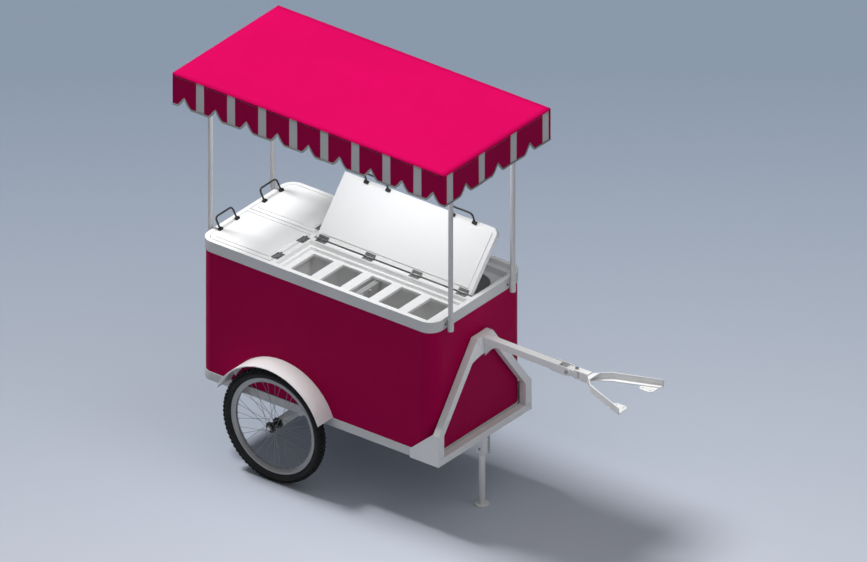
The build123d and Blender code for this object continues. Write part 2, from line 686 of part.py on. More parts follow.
with BuildPart() as hinge_pins:
    for plane, places in HINGE_ROWS:
        for x in places:
            with BuildSketch(across_hinge(plane, x)) as pin:
                RegularPolygon(HINGE_PIN_RADIUS, BORE_SIDES, rotation=180 / BORE_SIDES)
            extrude(pin.sketch, amount=KNUCKLE_LENGTH / 2 + KNUCKLE_GAP, both=True)
save(hinge_pins, "hinge_pins")

# Canopy cover: a flat top and four hanging valances with pointed notches and a bead along the top edge
VALANCE_BOTTOM = CANOPY_TOP - VALANCE_HEIGHT
CLOTH_LENGTH = CANOPY_LENGTH - 2 * HEM_PROUD
CLOTH_WIDTH = CANOPY_WIDTH - 2 * HEM_PROUD


def notch_row(plane, count, pitch):
    """A row of pointed notches with curved feet, along the lower edge of a valance"""
    steps = [index / NOTCH_STEPS for index in range(NOTCH_STEPS)]
    left = [(-NOTCH_WIDTH / 2 * (1 - step), NOTCH_HEIGHT * step**2) for step in steps]
    right = [(-x, y) for x, y in reversed(left)]
    with BuildSketch(plane) as row:
        with GridLocations(pitch, pitch, count, 1):
            Polygon(*left, (0, NOTCH_HEIGHT), *right, align=None)
    return row.sketch


with BuildPart() as canopy_cover:
    seam = CLOTH + CANOPY_SEAM
    hem_z = (CANOPY_TOP - HEM_HEIGHT, CANOPY_TOP)
    valance_z = (VALANCE_BOTTOM, CANOPY_TOP)
    block(
        about(CABINET_X, CLOTH_LENGTH - 2 * seam),
        about(0, CLOTH_WIDTH - 2 * seam),
        (CANOPY_TOP - CLOTH, CANOPY_TOP),
    )
    for side in SIDES.values():
        edge = CLOTH_WIDTH / 2
        block(about(CABINET_X, CLOTH_LENGTH), sided(side, edge - CLOTH, edge), valance_z)
        block(about(CABINET_X, CANOPY_LENGTH), sided(side, edge, edge + HEM_PROUD), hem_z)
    for end in (-1, 1):
        edge = CABINET_X + end * CLOTH_LENGTH / 2
        block(about(edge - end * CLOTH / 2, CLOTH), about(0, CLOTH_WIDTH - 2 * seam), valance_z)
        block(about(edge + end * HEM_PROUD / 2, HEM_PROUD), about(0, CLOTH_WIDTH - 2 * seam), hem_z)
    side_plane = Plane((CABINET_X, 0, VALANCE_BOTTOM), x_dir=(1, 0, 0), z_dir=(0, -1, 0))
    end_plane = Plane((CABINET_X, 0, VALANCE_BOTTOM), x_dir=(0, 1, 0), z_dir=(1, 0, 0))
    side_row = notch_row(side_plane, SIDE_NOTCHES, SIDE_NOTCH_PITCH)
    extrude(side_row, amount=CANOPY_WIDTH, both=True, mode=Mode.SUBTRACT)
    end_row = notch_row(end_plane, END_NOTCHES, END_NOTCH_PITCH)
    extrude(end_row, amount=CANOPY_LENGTH, both=True, mode=Mode.SUBTRACT)
save(canopy_cover, "canopy_cover")

# Canopy frame: edge tubes under the cloth, on two bows across the pole heads
EDGE_TOP = CANOPY_TOP - CLOTH
EDGE_Z = (EDGE_TOP - FRAME_TUBE, EDGE_TOP)
BOW_TOP = EDGE_Z[0] - CANOPY_SEAM
BOW_Z = (BOW_TOP - FRAME_TUBE, BOW_TOP)
EDGE_HALF_LENGTH = CLOTH_LENGTH / 2 - CLOTH - FRAME_INSET
EDGE_HALF_WIDTH = CLOTH_WIDTH / 2 - CLOTH - FRAME_INSET
with BuildPart() as canopy_frame:
    for side in SIDES.values():
        block(
            about(CABINET_X, 2 * EDGE_HALF_LENGTH),
            sided(side, EDGE_HALF_WIDTH - FRAME_TUBE, EDGE_HALF_WIDTH),
            EDGE_Z,
        )
    for end in (-1, 1):
        block(
            about(CABINET_X + end * (EDGE_HALF_LENGTH - FRAME_TUBE / 2), FRAME_TUBE),
            about(0, 2 * (EDGE_HALF_WIDTH - FRAME_TUBE - CANOPY_SEAM)),
            EDGE_Z,
        )
        block(about(CABINET_X + end * POLE_X, FRAME_TUBE), about(0, 2 * EDGE_HALF_WIDTH), BOW_Z)
save(canopy_frame, "canopy_frame")

# Poles in sockets on the ends of the rim
POLE_BOTTOM = SOCKET_BOTTOM + SOCKET_FLOOR + POLE_SEAT
POLE_PLACES = [
    (CABINET_X + end * POLE_X, side * POLE_Y)
    for end in (-1, 1)
    for side in SIDES.values()
]
with BuildPart() as poles:
    with BuildSketch(Plane((0, 0, POLE_BOTTOM))):
        with Locations(*POLE_PLACES):
            RegularPolygon(POLE_DIAMETER / 2, POLE_SIDES)
    extrude(amount=BOW_Z[0] - POLE_BOTTOM)
save(poles, "poles")

RIM_END = HALF_LENGTH + PROUD
SOCKET_MID = RIM_BOTTOM + (RIM_HEIGHT - COUNTER_LIP) / 2
with BuildPart() as pole_sockets:
    for x, y in POLE_PLACES:
        end = 1 if x > CABINET_X else -1
        plate_x = about(CABINET_X + end * (RIM_END + SOCKET_PLATE / 2), SOCKET_PLATE)
        web_x = about(CABINET_X + end * (RIM_END + POLE_X) / 2, POLE_X - RIM_END)
        block(plate_x, about(y, SOCKET_PLATE_WIDTH), about(SOCKET_MID, SOCKET_PLATE_HEIGHT))
        block(web_x, about(y, SOCKET_WEB), about(SOCKET_MID, SOCKET_PLATE_HEIGHT))
    with BuildSketch(Plane((0, 0, SOCKET_BOTTOM))):
        with Locations(*POLE_PLACES):
            RegularPolygon(SOCKET_DIAMETER / 2, SOCKET_SIDES)
    extrude(amount=SOCKET_HEIGHT)
    with BuildSketch(Plane((0, 0, SOCKET_BOTTOM + SOCKET_FLOOR))):
        with Locations(*POLE_PLACES):
            RegularPolygon(POLE_DIAMETER / 2 + RUNNING_FIT / cos(pi / POLE_SIDES), POLE_SIDES)
    extrude(amount=SOCKET_HEIGHT, mode=Mode.SUBTRACT)
save(pole_sockets, "pole_sockets")

with BuildPart() as socket_bolts:
    for x, y in POLE_PLACES:
        end = 1 if x > CABINET_X else -1
        head_x = CABINET_X + end * (RIM_END + SOCKET_PLATE)
        with BuildSketch(Plane((head_x, y, SOCKET_MID), x_dir=(0, 1, 0), z_dir=(end, 0, 0))):
            with GridLocations(BOLT_SPACING, BOLT_SPACING, 2, 1):
                RegularPolygon(BOLT_RADIUS, HEXAGON)
        extrude(amount=BOLT_HEIGHT)
save(socket_bolts, "socket_bolts")

# Axle: a round beam with a shouldered spindle at each end, hangers, bearings and nuts
HUB_INNER = WHEEL_Y - HUB_LENGTH / 2
HUB_OUTER = WHEEL_Y + HUB_LENGTH / 2
SPINDLE_TIP = HUB_OUTER + AXLE_NUT_HEIGHT + SPINDLE_END


def turned(plane, radius, length, mode=Mode.ADD):
    """A many-sided bar along a workplane's normal, with its corners on a radius"""
    with BuildSketch(plane) as section:
        RegularPolygon(radius, TURNED_SIDES)
    extrude(section.sketch, amount=length, mode=mode)


def running_bore(plane, radius, length):
    """A hole that a turned bar runs in, with its flats a running fit outside the bar's corners"""
    with BuildSketch(plane) as section:
        RegularPolygon(radius + RUNNING_FIT, TURNED_SIDES, major_radius=False, rotation=180 / TURNED_SIDES)
    extrude(section.sketch, amount=length, mode=Mode.SUBTRACT)


def facing_left(x, y, z):
    """A workplane that faces left at a place"""
    return Plane((x, y, z), x_dir=(1, 0, 0), z_dir=(0, 1, 0))


def rod(radius, y, mode=Mode.ADD):
    """A turned rod on the axle's line between two limits across"""
    turned(facing_left(AXLE_X, y[0], WHEEL_Z), radius, y[1] - y[0], mode)


with BuildPart() as axle:
    rod(AXLE_DIAMETER / 2, about(0, 2 * (HUB_INNER - HUB_CLEAR)))
    rod(SPINDLE_DIAMETER / 2, about(0, 2 * SPINDLE_TIP))
save(axle, "axle")

with BuildPart() as wheel_bearings:
    for side in SIDES.values():
        rod(BEARING_DIAMETER / 2, sided(side, HUB_INNER - HUB_CLEAR, HUB_OUTER))
    rod(SPINDLE_DIAMETER / 2, about(0, 2 * SPINDLE_TIP), Mode.SUBTRACT)
save(wheel_bearings, "wheel_bearings")

with BuildPart() as axle_nuts:
    for side in SIDES.values():
        with BuildSketch(Plane((AXLE_X, side * HUB_OUTER, WHEEL_Z), z_dir=(0, side, 0))):
            RegularPolygon(AXLE_NUT_FLATS / 2, HEXAGON, major_radius=False)
            RegularPolygon(SPINDLE_DIAMETER / 2, TURNED_SIDES, mode=Mode.SUBTRACT)
        extrude(amount=AXLE_NUT_HEIGHT)
save(axle_nuts, "axle_nuts")

with BuildPart() as axle_hangers:
    for side in SIDES.values():
        block(
            about(AXLE_X, HANGER_LENGTH),
            about(side * RAIL_Y, HANGER_WIDTH),
            (WHEEL_Z - HANGER_GRIP, RAIL_BOTTOM),
        )
    rod(AXLE_DIAMETER / 2, about(0, 2 * HUB_INNER), Mode.SUBTRACT)
save(axle_hangers, "axle_hangers")

# Wheels: tyre, box-section rim, laced spokes and a flanged hub
RIM_RADIUS = RIM_DIAMETER / 2
RIM_BED = RIM_RADIUS - RIM_BED_DROP
RIM_HALF = RIM_SECTION_WIDTH / 2
BEAD_HALF = RIM_HALF - RIM_FLANGE - BEAD_FIT
BEAD_RADIUS = RIM_BED + BEAD_FIT
TYRE_HALF = TYRE_WIDTH / 2
WAIST_RADIUS = (RIM_RADIUS + TYRE_DIAMETER / 2) / 2
SHOULDER_RADIUS = TYRE_DIAMETER / 2 - TREAD_DROP


def ring_profile(middle, points):
    """A ring about the axle with a side to each spoke, from half of a section mirrored about its middle"""
    centre = Vector(AXLE_X, middle, WHEEL_Z)
    turns = [2 * pi * index / SPOKES for index in range(SPOKES)]
    flat = cos(pi / SPOKES)
    half = [((radius - RIM_RADIUS) * flat, place) for radius, place in points]
    other = [(reach, -place) for reach, place in reversed(half)]
    with BuildLine(facing_left(*centre)) as path:
        Polyline(*[(RIM_RADIUS * cos(turn), RIM_RADIUS * sin(turn)) for turn in turns], close=True)
    start = path.line @ (0.5 / SPOKES)
    heading = path.line % (0.5 / SPOKES)
    with BuildSketch(Plane(start, x_dir=start - centre, z_dir=heading)) as section:
        with BuildLine():
            Polyline(*half, *other, close=True)
        make_face()
    sweep(section.sketch, path=path.line, transition=Transition.RIGHT)


def hub_point(side_sign, angle, across):
    """A spoke's seat on a hub flange"""
    turn = radians(angle)
    return Vector(
        AXLE_X + SPOKE_CIRCLE / 2 * cos(turn),
        side_sign * WHEEL_Y + across,
        WHEEL_Z + SPOKE_CIRCLE / 2 * sin(turn),
    )


def rim_point(side_sign, angle, across):
    """A spoke's seat in the rim"""
    turn = radians(angle)
    reach = RIM_INNER_DIAMETER / 2 + SPOKE_BITE
    return Vector(AXLE_X + reach * cos(turn), side_sign * WHEEL_Y + across, WHEEL_Z + reach * sin(turn))


def fender_arc(side, trim, depth, width):
    """Chords over the wheel, less some at each end, of a rectangle inwards from the fender's radius"""
    chord = (180 - 2 * FENDER_START) / FENDER_CHORDS
    turns = [radians(FENDER_START + chord * index) for index in range(trim, FENDER_CHORDS - trim + 1)]
    middle = side * (HALF_WIDTH + width / 2)
    with BuildLine(Plane((AXLE_X, middle, WHEEL_Z), x_dir=(1, 0, 0), z_dir=(0, -1, 0))) as path:
        Polyline(*[(FENDER_RADIUS * cos(turn), FENDER_RADIUS * sin(turn)) for turn in turns])
    with BuildSketch(Plane(path.line @ 0, x_dir=(0, 1, 0), z_dir=path.line % 0)) as section:
        with Locations((0, depth / 2)):
            Rectangle(width, depth)
    sweep(section.sketch, path=path.line, transition=Transition.RIGHT)


for name, side in SIDES.items():
    middle = side * WHEEL_Y
    with BuildPart() as tyre:
        ring_profile(
            middle,
            [
                (BEAD_RADIUS, BEAD_HALF),
                (RIM_RADIUS + BEAD_FIT, BEAD_HALF),
                (WAIST_RADIUS, TYRE_HALF),
                (SHOULDER_RADIUS, TYRE_HALF - TREAD_DROP),
                (TYRE_DIAMETER / 2, TREAD_FLAT / 2),
            ],
        )
    save(tyre, f"tyre_{name}")

    with BuildPart() as rim:
        ring_profile(
            middle,
            [
                (RIM_INNER_DIAMETER / 2, RIM_HALF / 2),
                (RIM_BED - RIM_FLANGE, RIM_HALF),
                (RIM_RADIUS, RIM_HALF),
                (RIM_RADIUS, RIM_HALF - RIM_FLANGE),
                (RIM_BED, RIM_HALF - RIM_FLANGE),
            ],
        )
    save(rim, f"rim_{name}")

    with BuildPart() as hub:
        hub_y = sided(side, HUB_INNER, HUB_OUTER)
        rod(HUB_BARREL / 2, hub_y)
        for flange in (-1, 1):
            rod(FLANGE_DIAMETER / 2, about(middle + flange * FLANGE_SPACING / 2, FLANGE_THICKNESS))
        running_bore(facing_left(AXLE_X, hub_y[0], WHEEL_Z), BEARING_DIAMETER / 2, HUB_LENGTH)
    save(hub, f"hub_{name}")

    with BuildPart() as spokes:
        for index in range(SPOKES):
            pair, flange_turn = divmod(index, 2)
            flange = 1 if flange_turn else -1
            lead = -1 if pair % 2 else 1
            angle = index * 360 / SPOKES
            across = flange * FLANGE_SPACING / 2 + lead * SPOKE_STAGGER
            start = hub_point(side, angle + lead * SPOKE_CROSS, across)
            finish = rim_point(side, angle, flange * RIM_HALF / 4)
            run = finish - start
            with BuildSketch(Plane(start, z_dir=run)):
                RegularPolygon(SPOKE_RADIUS, SPOKE_SIDES)
            extrude(amount=run.length)
    save(spokes, f"spokes_{name}")

    # Fender: a wide arc of sheet on the cabinet's side, held by a flange under its inner edge
    with BuildPart() as fender:
        fender_arc(side, 0, FENDER_SHEET, FENDER_WIDTH)
        fender_arc(side, 1, FENDER_FLANGE, FENDER_SHEET)
    save(fender, f"fender_{name}")


def hollow(x, y, z, run):
    """A square tube between limits, open at both ends along one axis"""
    inner = [grown(limits, 0 if axis == run else -TUBE_WALL) for axis, limits in zip("xyz", (x, y, z))]
    block(x, y, z)
    block(*inner, Mode.SUBTRACT)


# Chassis: two long rails and cross members under the tray
with BuildPart() as chassis_tubes:
    for side in SIDES.values():
        rail_x = (CABINET_X + CHASSIS_REAR, CABINET_X + HALF_LENGTH)
        hollow(rail_x, about(side * RAIL_Y, TUBE), (RAIL_BOTTOM, TRAY_BOTTOM), "x")
    for index in range(CROSS_MEMBERS):
        member_x = about(CABINET_X + CROSS_FIRST + index * CROSS_PITCH, TUBE)
        hollow(member_x, about(0, 2 * RAIL_Y - TUBE), (RAIL_BOTTOM, TRAY_BOTTOM), "y")
save(chassis_tubes, "chassis_tubes")

# Front frame: a beam, two posts and two sloping stays up to a head, mitred where they meet
BEAM_TOP = FRONT_BEAM_BOTTOM + TUBE
POST_Y = GUSSET_Y - TUBE / 2
FRAME_CHAIN = [
    (POST_Y, BEAM_TOP),
    (POST_Y, POST_TOP),
    (HEAD_WIDTH / 2, HEAD_TOP - TUBE / 2),
    (-HEAD_WIDTH / 2, HEAD_TOP - TUBE / 2),
    (-POST_Y, POST_TOP),
    (-POST_Y, BEAM_TOP),
]
HEAD_INDEX = len(FRAME_CHAIN) // 2 - 1


def frame_member(index):
    """One mitred tube of the front frame, from one corner of its chain to the next"""
    for wall, mode in ((0, Mode.ADD), (TUBE_WALL, Mode.SUBTRACT)):
        reach = TUBE / 2 - wall
        left = chain_offset(FRAME_CHAIN, reach)[index:index + 2]
        right = chain_offset(FRAME_CHAIN, -reach)[index:index + 2]
        with BuildSketch(Plane((FRAME_MID, 0, 0), x_dir=(0, 1, 0), z_dir=(1, 0, 0))) as side_view:
            Polygon(*left, *reversed(right), align=None)
        extrude(side_view.sketch, amount=reach, both=True, mode=mode)


with BuildPart() as front_beam:
    hollow(FRAME_X, about(0, 2 * GUSSET_Y), (FRONT_BEAM_BOTTOM, BEAM_TOP), "y")
save(front_beam, "front_beam")

with BuildPart() as front_uprights:
    for index in range(len(FRAME_CHAIN) - 1):
        if index != HEAD_INDEX:
            frame_member(index)
save(front_uprights, "front_uprights")

with BuildPart() as front_head:
    frame_member(HEAD_INDEX)
save(front_head, "front_head")

# Gusset plates: two at the frame's feet, one under the head and one under the drawbar
STAY_LEAN = (POST_Y - HEAD_WIDTH / 2) / (HEAD_TOP - TUBE / 2 - POST_TOP)
INNER_CHAIN = chain_offset(FRAME_CHAIN, TUBE / 2)
HEAD_CORNER = INNER_CHAIN[HEAD_INDEX]
GUSSET_LOW_Y = HEAD_CORNER[0] + HEAD_GUSSET_DROP * STAY_LEAN
BAR_CORNER = (FRAME_X[1], 0, HEAD_TOP - TUBE)
FOOT_CORNER = {side: (FRAME_X[1], side * GUSSET_Y, FRONT_BEAM_BOTTOM) for side in SIDES.values()}
FOOT_OUTLINE = [
    (0, 0),
    (0, SIDE_GUSSET_HIGH),
    (-TUBE, SIDE_GUSSET_HIGH),
    (-SIDE_GUSSET_LENGTH, SIDE_GUSSET_LOW),
    (-SIDE_GUSSET_LENGTH, 0),
]
with BuildPart() as gusset_plates:
    for side in SIDES.values():
        with BuildSketch(Plane(FOOT_CORNER[side], x_dir=(1, 0, 0), z_dir=(0, side, 0))) as foot_plate:
            Polygon(*[(x, -side * z) for x, z in FOOT_OUTLINE], align=None)
        extrude(foot_plate.sketch, amount=GUSSET)
    with BuildSketch(Plane((FRAME_MID, 0, 0), x_dir=(0, 1, 0), z_dir=(1, 0, 0))) as head_plate:
        with BuildLine():
            Line(HEAD_CORNER, (-HEAD_CORNER[0], HEAD_CORNER[1]))
            Line((-HEAD_CORNER[0], HEAD_CORNER[1]), (-GUSSET_LOW_Y, HEAD_CORNER[1] - HEAD_GUSSET_DROP))
            ThreePointArc(
                (-GUSSET_LOW_Y, HEAD_CORNER[1] - HEAD_GUSSET_DROP),
                (0, HEAD_CORNER[1] - HEAD_GUSSET_DROP + HEAD_GUSSET_ARC),
                (GUSSET_LOW_Y, HEAD_CORNER[1] - HEAD_GUSSET_DROP),
            )
            Line((GUSSET_LOW_Y, HEAD_CORNER[1] - HEAD_GUSSET_DROP), HEAD_CORNER)
        make_face()
    extrude(head_plate.sketch, amount=TUBE / 2)
    with BuildSketch(Plane(BAR_CORNER, x_dir=(1, 0, 0), z_dir=(0, -1, 0))) as bar_plate:
        Polygon((0, 0), (BAR_GUSSET_REACH, 0), (0, -BAR_GUSSET_DROP), align=None)
    extrude(bar_plate.sketch, amount=GUSSET / 2, both=True)
save(gusset_plates, "gusset_plates")

# Drawbar with two cheeks that hold the pitch pin
BAR_Z = (HEAD_TOP - TUBE, HEAD_TOP)
with BuildPart() as drawbar:
    hollow((FRAME_X[1], CABINET_X + DRAWBAR_END), about(0, TUBE), BAR_Z, "x")
save(drawbar, "drawbar")

PITCH_X = CABINET_X + PITCH_PIN_X
YAW_X = CABINET_X + YAW_PIN_X
with BuildPart() as hitch_cheeks:
    with BuildSketch(Plane((0, 0, DRAWBAR_Z), x_dir=(1, 0, 0), z_dir=(0, -1, 0))) as cheek:
        with Locations(((CABINET_X + CHEEK_START + PITCH_X) / 2, 0)):
            Rectangle(PITCH_PIN_X - CHEEK_START, CHEEK_HEIGHT)
        with Locations((PITCH_X, 0)):
            RegularPolygon(CHEEK_HEIGHT / 2, TURNED_SIDES)
            RegularPolygon(PIN_RADIUS, TURNED_SIDES, mode=Mode.SUBTRACT)
    extrude(cheek.sketch, amount=TUBE / 2 + CHEEK, both=True)
    block(
        (CABINET_X + CHEEK_START, PITCH_X + CHEEK_HEIGHT),
        about(0, TUBE),
        about(DRAWBAR_Z, CHEEK_HEIGHT),
        Mode.SUBTRACT,
    )
save(hitch_cheeks, "hitch_cheeks")

with BuildPart() as pitch_pin:
    turned(facing_left(PITCH_X, -TUBE / 2 - CHEEK, DRAWBAR_Z), PIN_RADIUS, TUBE + 2 * CHEEK)
    for side in SIDES.values():
        with BuildSketch(Plane((PITCH_X, side * (TUBE / 2 + CHEEK), DRAWBAR_Z), z_dir=(0, side, 0))):
            RegularPolygon(PIN_HEAD_RADIUS, HEXAGON)
        extrude(amount=PIN_HEAD)
save(pitch_pin, "pitch_pin")

# Coupling: a tongue between the cheeks, round about the pitch pin and about the yaw pin
COUPLING_Z = about(DRAWBAR_Z, 2 * CLEVIS_RADIUS)
with BuildPart() as coupling:
    with BuildSketch(Plane((0, 0, DRAWBAR_Z), x_dir=(1, 0, 0), z_dir=(0, -1, 0))) as tongue:
        with Locations(((PITCH_X + YAW_X + CLEVIS_RADIUS) / 2, 0)):
            Rectangle(YAW_X + CLEVIS_RADIUS - PITCH_X, 2 * CLEVIS_RADIUS)
        with Locations((PITCH_X, 0)):
            RegularPolygon(CLEVIS_RADIUS, TURNED_SIDES)
    extrude(tongue.sketch, amount=COUPLING_WIDTH / 2, both=True)
    running_bore(facing_left(PITCH_X, -COUPLING_WIDTH / 2, DRAWBAR_Z), PIN_RADIUS, COUPLING_WIDTH)
    with BuildSketch(Plane((0, 0, COUPLING_Z[0]))) as nose:
        with Locations(((PITCH_X - CLEVIS_RADIUS + YAW_X) / 2, 0)):
            Rectangle(YAW_X - PITCH_X + CLEVIS_RADIUS, COUPLING_WIDTH)
        with Locations((YAW_X, 0)):
            RegularPolygon(COUPLING_WIDTH / 2, TURNED_SIDES)
            RegularPolygon(PIN_RADIUS, TURNED_SIDES, mode=Mode.SUBTRACT)
    extrude(nose.sketch, amount=2 * CLEVIS_RADIUS, mode=Mode.INTERSECT)
save(coupling, "coupling")

CLEVIS_INNER = CLEVIS_RADIUS + SIDE_PLAY
CLEVIS_OUTER = CLEVIS_INNER + CLEVIS_PLATE
with BuildPart() as yaw_pin:
    pin_half = CLEVIS_OUTER + SIDE_PLAY
    turned(Plane((YAW_X, 0, DRAWBAR_Z - pin_half)), PIN_RADIUS, 2 * pin_half)
    for side in SIDES.values():
        with BuildSketch(Plane((YAW_X, 0, DRAWBAR_Z + side * pin_half), z_dir=(0, 0, side))):
            RegularPolygon(PIN_HEAD_RADIUS, HEXAGON)
        extrude(amount=PIN_HEAD)
save(yaw_pin, "yaw_pin")

# Fork stem: a clevis above and below the coupling
STEM_X = (CABINET_X + STEM_START, CABINET_X + STEM_END)
with BuildPart() as fork_stem:
    with BuildSketch(Plane((0, 0, DRAWBAR_Z - CLEVIS_OUTER))) as plan:
        with Locations(((YAW_X + STEM_X[1]) / 2, 0)):
            Rectangle(STEM_X[1] - YAW_X, 2 * CLEVIS_RADIUS)
        with Locations((YAW_X, 0)):
            RegularPolygon(CLEVIS_RADIUS, TURNED_SIDES)
    extrude(plan.sketch, amount=2 * CLEVIS_OUTER)
    running_bore(Plane((YAW_X, 0, DRAWBAR_Z - CLEVIS_OUTER)), PIN_RADIUS, 2 * CLEVIS_OUTER)
    block(
        (YAW_X - 2 * CLEVIS_RADIUS, STEM_X[0]),
        about(0, TUBE),
        about(DRAWBAR_Z, 2 * CLEVIS_INNER),
        Mode.SUBTRACT,
    )
save(fork_stem, "fork_stem")

# Fork: two angle-section arms that spread from the stem, joined by a crown plate
FORK_Z = about(DRAWBAR_Z, FORK_WEB)
ARM_CHAIN = [
    (CABINET_X + STEM_END, FORK_ROOT_Y),
    (CABINET_X + FORK_BEND_X, FORK_BEND_Y),
    (CABINET_X + FORK_REACH, FORK_END_Y),
]


def arm_strip(side, width, height):
    """One arm's plan strip, drawn inwards from its outer line, raised from the fork's bottom"""
    outer = [(x, side * y) for x, y in ARM_CHAIN]
    inner = [(x, side * y) for x, y in chain_offset(ARM_CHAIN, -width)]
    inner[0] = (ARM_CHAIN[0][0], side * max(side * inner[0][1], 0))
    inner[-1] = (ARM_CHAIN[-1][0], inner[-1][1])
    with BuildSketch(Plane((0, 0, FORK_Z[0]))) as strip:
        with BuildLine():
            Polyline(*outer, *reversed(inner), close=True)
        make_face()
    extrude(strip.sketch, amount=height)


with BuildPart() as fork:
    for side in SIDES.values():
        arm_strip(side, FORK_SHEET, FORK_WEB)
        arm_strip(side, FORK_FLANGE, FORK_SHEET)
    crown_slope = (FORK_BEND_Y - FORK_ROOT_Y) / (FORK_BEND_X - STEM_END)
    crown_y = FORK_ROOT_Y + FORK_CROWN * crown_slope - FORK_SHEET
    with BuildSketch(Plane((CABINET_X + STEM_END, 0, FORK_Z[1]))) as crown:
        Polygon(
            (0, -FORK_ROOT_Y),
            (0, FORK_ROOT_Y),
            (FORK_CROWN, crown_y),
            (FORK_CROWN, -crown_y),
            align=None,
        )
    extrude(crown.sketch, amount=-FORK_SHEET)
    block(
        (CABINET_X + STEM_END, CABINET_X + STEM_END + FORK_SHEET),
        about(0, 2 * FORK_ROOT_Y),
        FORK_Z,
    )
save(fork, "fork")

with BuildPart() as fork_plates:
    for side in SIDES.values():
        plate_corner = (CABINET_X + END_PLATE_X, side * END_PLATE_Y, FORK_Z[0] - END_PLATE)
        with BuildSketch(Plane(plate_corner)) as end_plate:
            plate = Rectangle(END_PLATE_LENGTH, END_PLATE_WIDTH)
            fillet(plate.vertices().group_by(Axis.Y)[0 if side > 0 else -1], END_PLATE_CORNER)
            with Locations((0, side * (END_HOLE_INSET - END_PLATE_WIDTH / 2 + END_HOLE_RADIUS))):
                with GridLocations(END_HOLE_SPACING, END_HOLE_SPACING, 2, 1):
                    Circle(END_HOLE_RADIUS, mode=Mode.SUBTRACT)
        extrude(end_plate.sketch, amount=END_PLATE)
save(fork_plates, "fork_plates")

# Prop stand: a channel under the beam, a leg that folds back on a bolt, and a foot
STAND_Z = (FRONT_BEAM_BOTTOM - STAND_DROP, FRONT_BEAM_BOTTOM)
STAND_BOLT_PLANE = facing_left(FRAME_MID, -STAND_BRACKET / 2, STAND_PIVOT_Z)
LEG_RADIUS = LEG_DIAMETER / 2
SPRING_Y = STAND_BRACKET / 2 + SPRING_STANDOFF
SPRING_TOP = STAND_PIVOT_Z + SPRING_ARM
SPRING_BOTTOM = STAND_PIVOT_Z - SPRING_ARM


def spring_stud(start_y, z):
    """A stud for one of the spring's hooks, from a place across to just past the spring"""
    with BuildSketch(Plane((FRAME_MID, start_y, z), x_dir=(1, 0, 0), z_dir=(0, 1, 0))) as section:
        RegularPolygon(STUD_RADIUS, STUD_SIDES)
    extrude(section.sketch, amount=SPRING_Y + STUD_END - start_y)


with BuildPart() as stand_bracket:
    block(about(FRAME_MID, STAND_BRACKET), about(0, STAND_BRACKET), STAND_Z)
    block(
        (FRAME_MID - STAND_BRACKET, FRAME_MID + STAND_BRACKET / 2 - STAND_SHEET),
        about(0, STAND_BRACKET - 2 * STAND_SHEET),
        grown(STAND_Z, STAND_SHEET),
        Mode.SUBTRACT,
    )
    turned(STAND_BOLT_PLANE, STAND_BOLT_RADIUS, STAND_BRACKET, Mode.SUBTRACT)
    spring_stud(STAND_BRACKET / 2, SPRING_TOP)
save(stand_bracket, "stand_bracket")

with BuildPart() as stand_bolt:
    turned(STAND_BOLT_PLANE, STAND_BOLT_RADIUS, STAND_BRACKET)
    for side in SIDES.values():
        with BuildSketch(Plane((FRAME_MID, side * STAND_BRACKET / 2, STAND_PIVOT_Z), z_dir=(0, side, 0))):
            RegularPolygon(STAND_BOLT_HEAD, HEXAGON)
        extrude(amount=STAND_BOLT_HEAD_HEIGHT)
save(stand_bolt, "stand_bolt")

with BuildPart() as stand_leg:
    leg_top = STAND_PIVOT_Z - LEG_RADIUS
    turned(Plane((FRAME_MID, 0, FOOT_THICKNESS)), LEG_RADIUS, leg_top - FOOT_THICKNESS)
    block(about(FRAME_MID, LEG_DIAMETER), about(0, LEG_EYE), (leg_top, STAND_PIVOT_Z))
    eye_plane = facing_left(FRAME_MID, -LEG_EYE / 2, STAND_PIVOT_Z)
    turned(eye_plane, LEG_RADIUS, LEG_EYE)
    running_bore(eye_plane, STAND_BOLT_RADIUS, LEG_EYE)
    spring_stud(0, SPRING_BOTTOM)
save(stand_leg, "stand_leg")

with BuildPart() as stand_foot:
    turned(Plane((FRAME_MID, 0, 0)), FOOT_DIAMETER / 2, FOOT_THICKNESS)
save(stand_foot, "stand_foot")

# Stand spring: a close helix with a hook over a stud at each end, in one length of wire
COIL_RADIUS = (SPRING_DIAMETER - SPRING_WIRE) / 2
COIL_BOTTOM = SPRING_BOTTOM + SPRING_HOOK_RISE
COIL_TOP = SPRING_TOP - SPRING_HOOK_RISE
COIL_PITCH = (COIL_TOP - COIL_BOTTOM) / SPRING_TURNS
HOOK_RADIUS = (STUD_RADIUS + SPRING_WIRE / 2 + HOOK_FIT) / cos(pi / HOOK_CHORDS / 2)
COIL_CENTRE = Vector(FRAME_MID, SPRING_Y, 0)


def coil_point(turns):
    """A point on the helix after a number of turns"""
    angle = 2 * pi * turns
    place = Vector(COIL_RADIUS * cos(angle), COIL_RADIUS * sin(angle), COIL_BOTTOM + COIL_PITCH * turns)
    return COIL_CENTRE + place


def hook_point(z, end, turn):
    """A point on the half ring over a stud, from the helix's side to the far side as turn goes 0 to 1"""
    angle = pi * turn
    return COIL_CENTRE + Vector(HOOK_RADIUS * cos(angle), 0, z + end * HOOK_RADIUS * sin(angle))


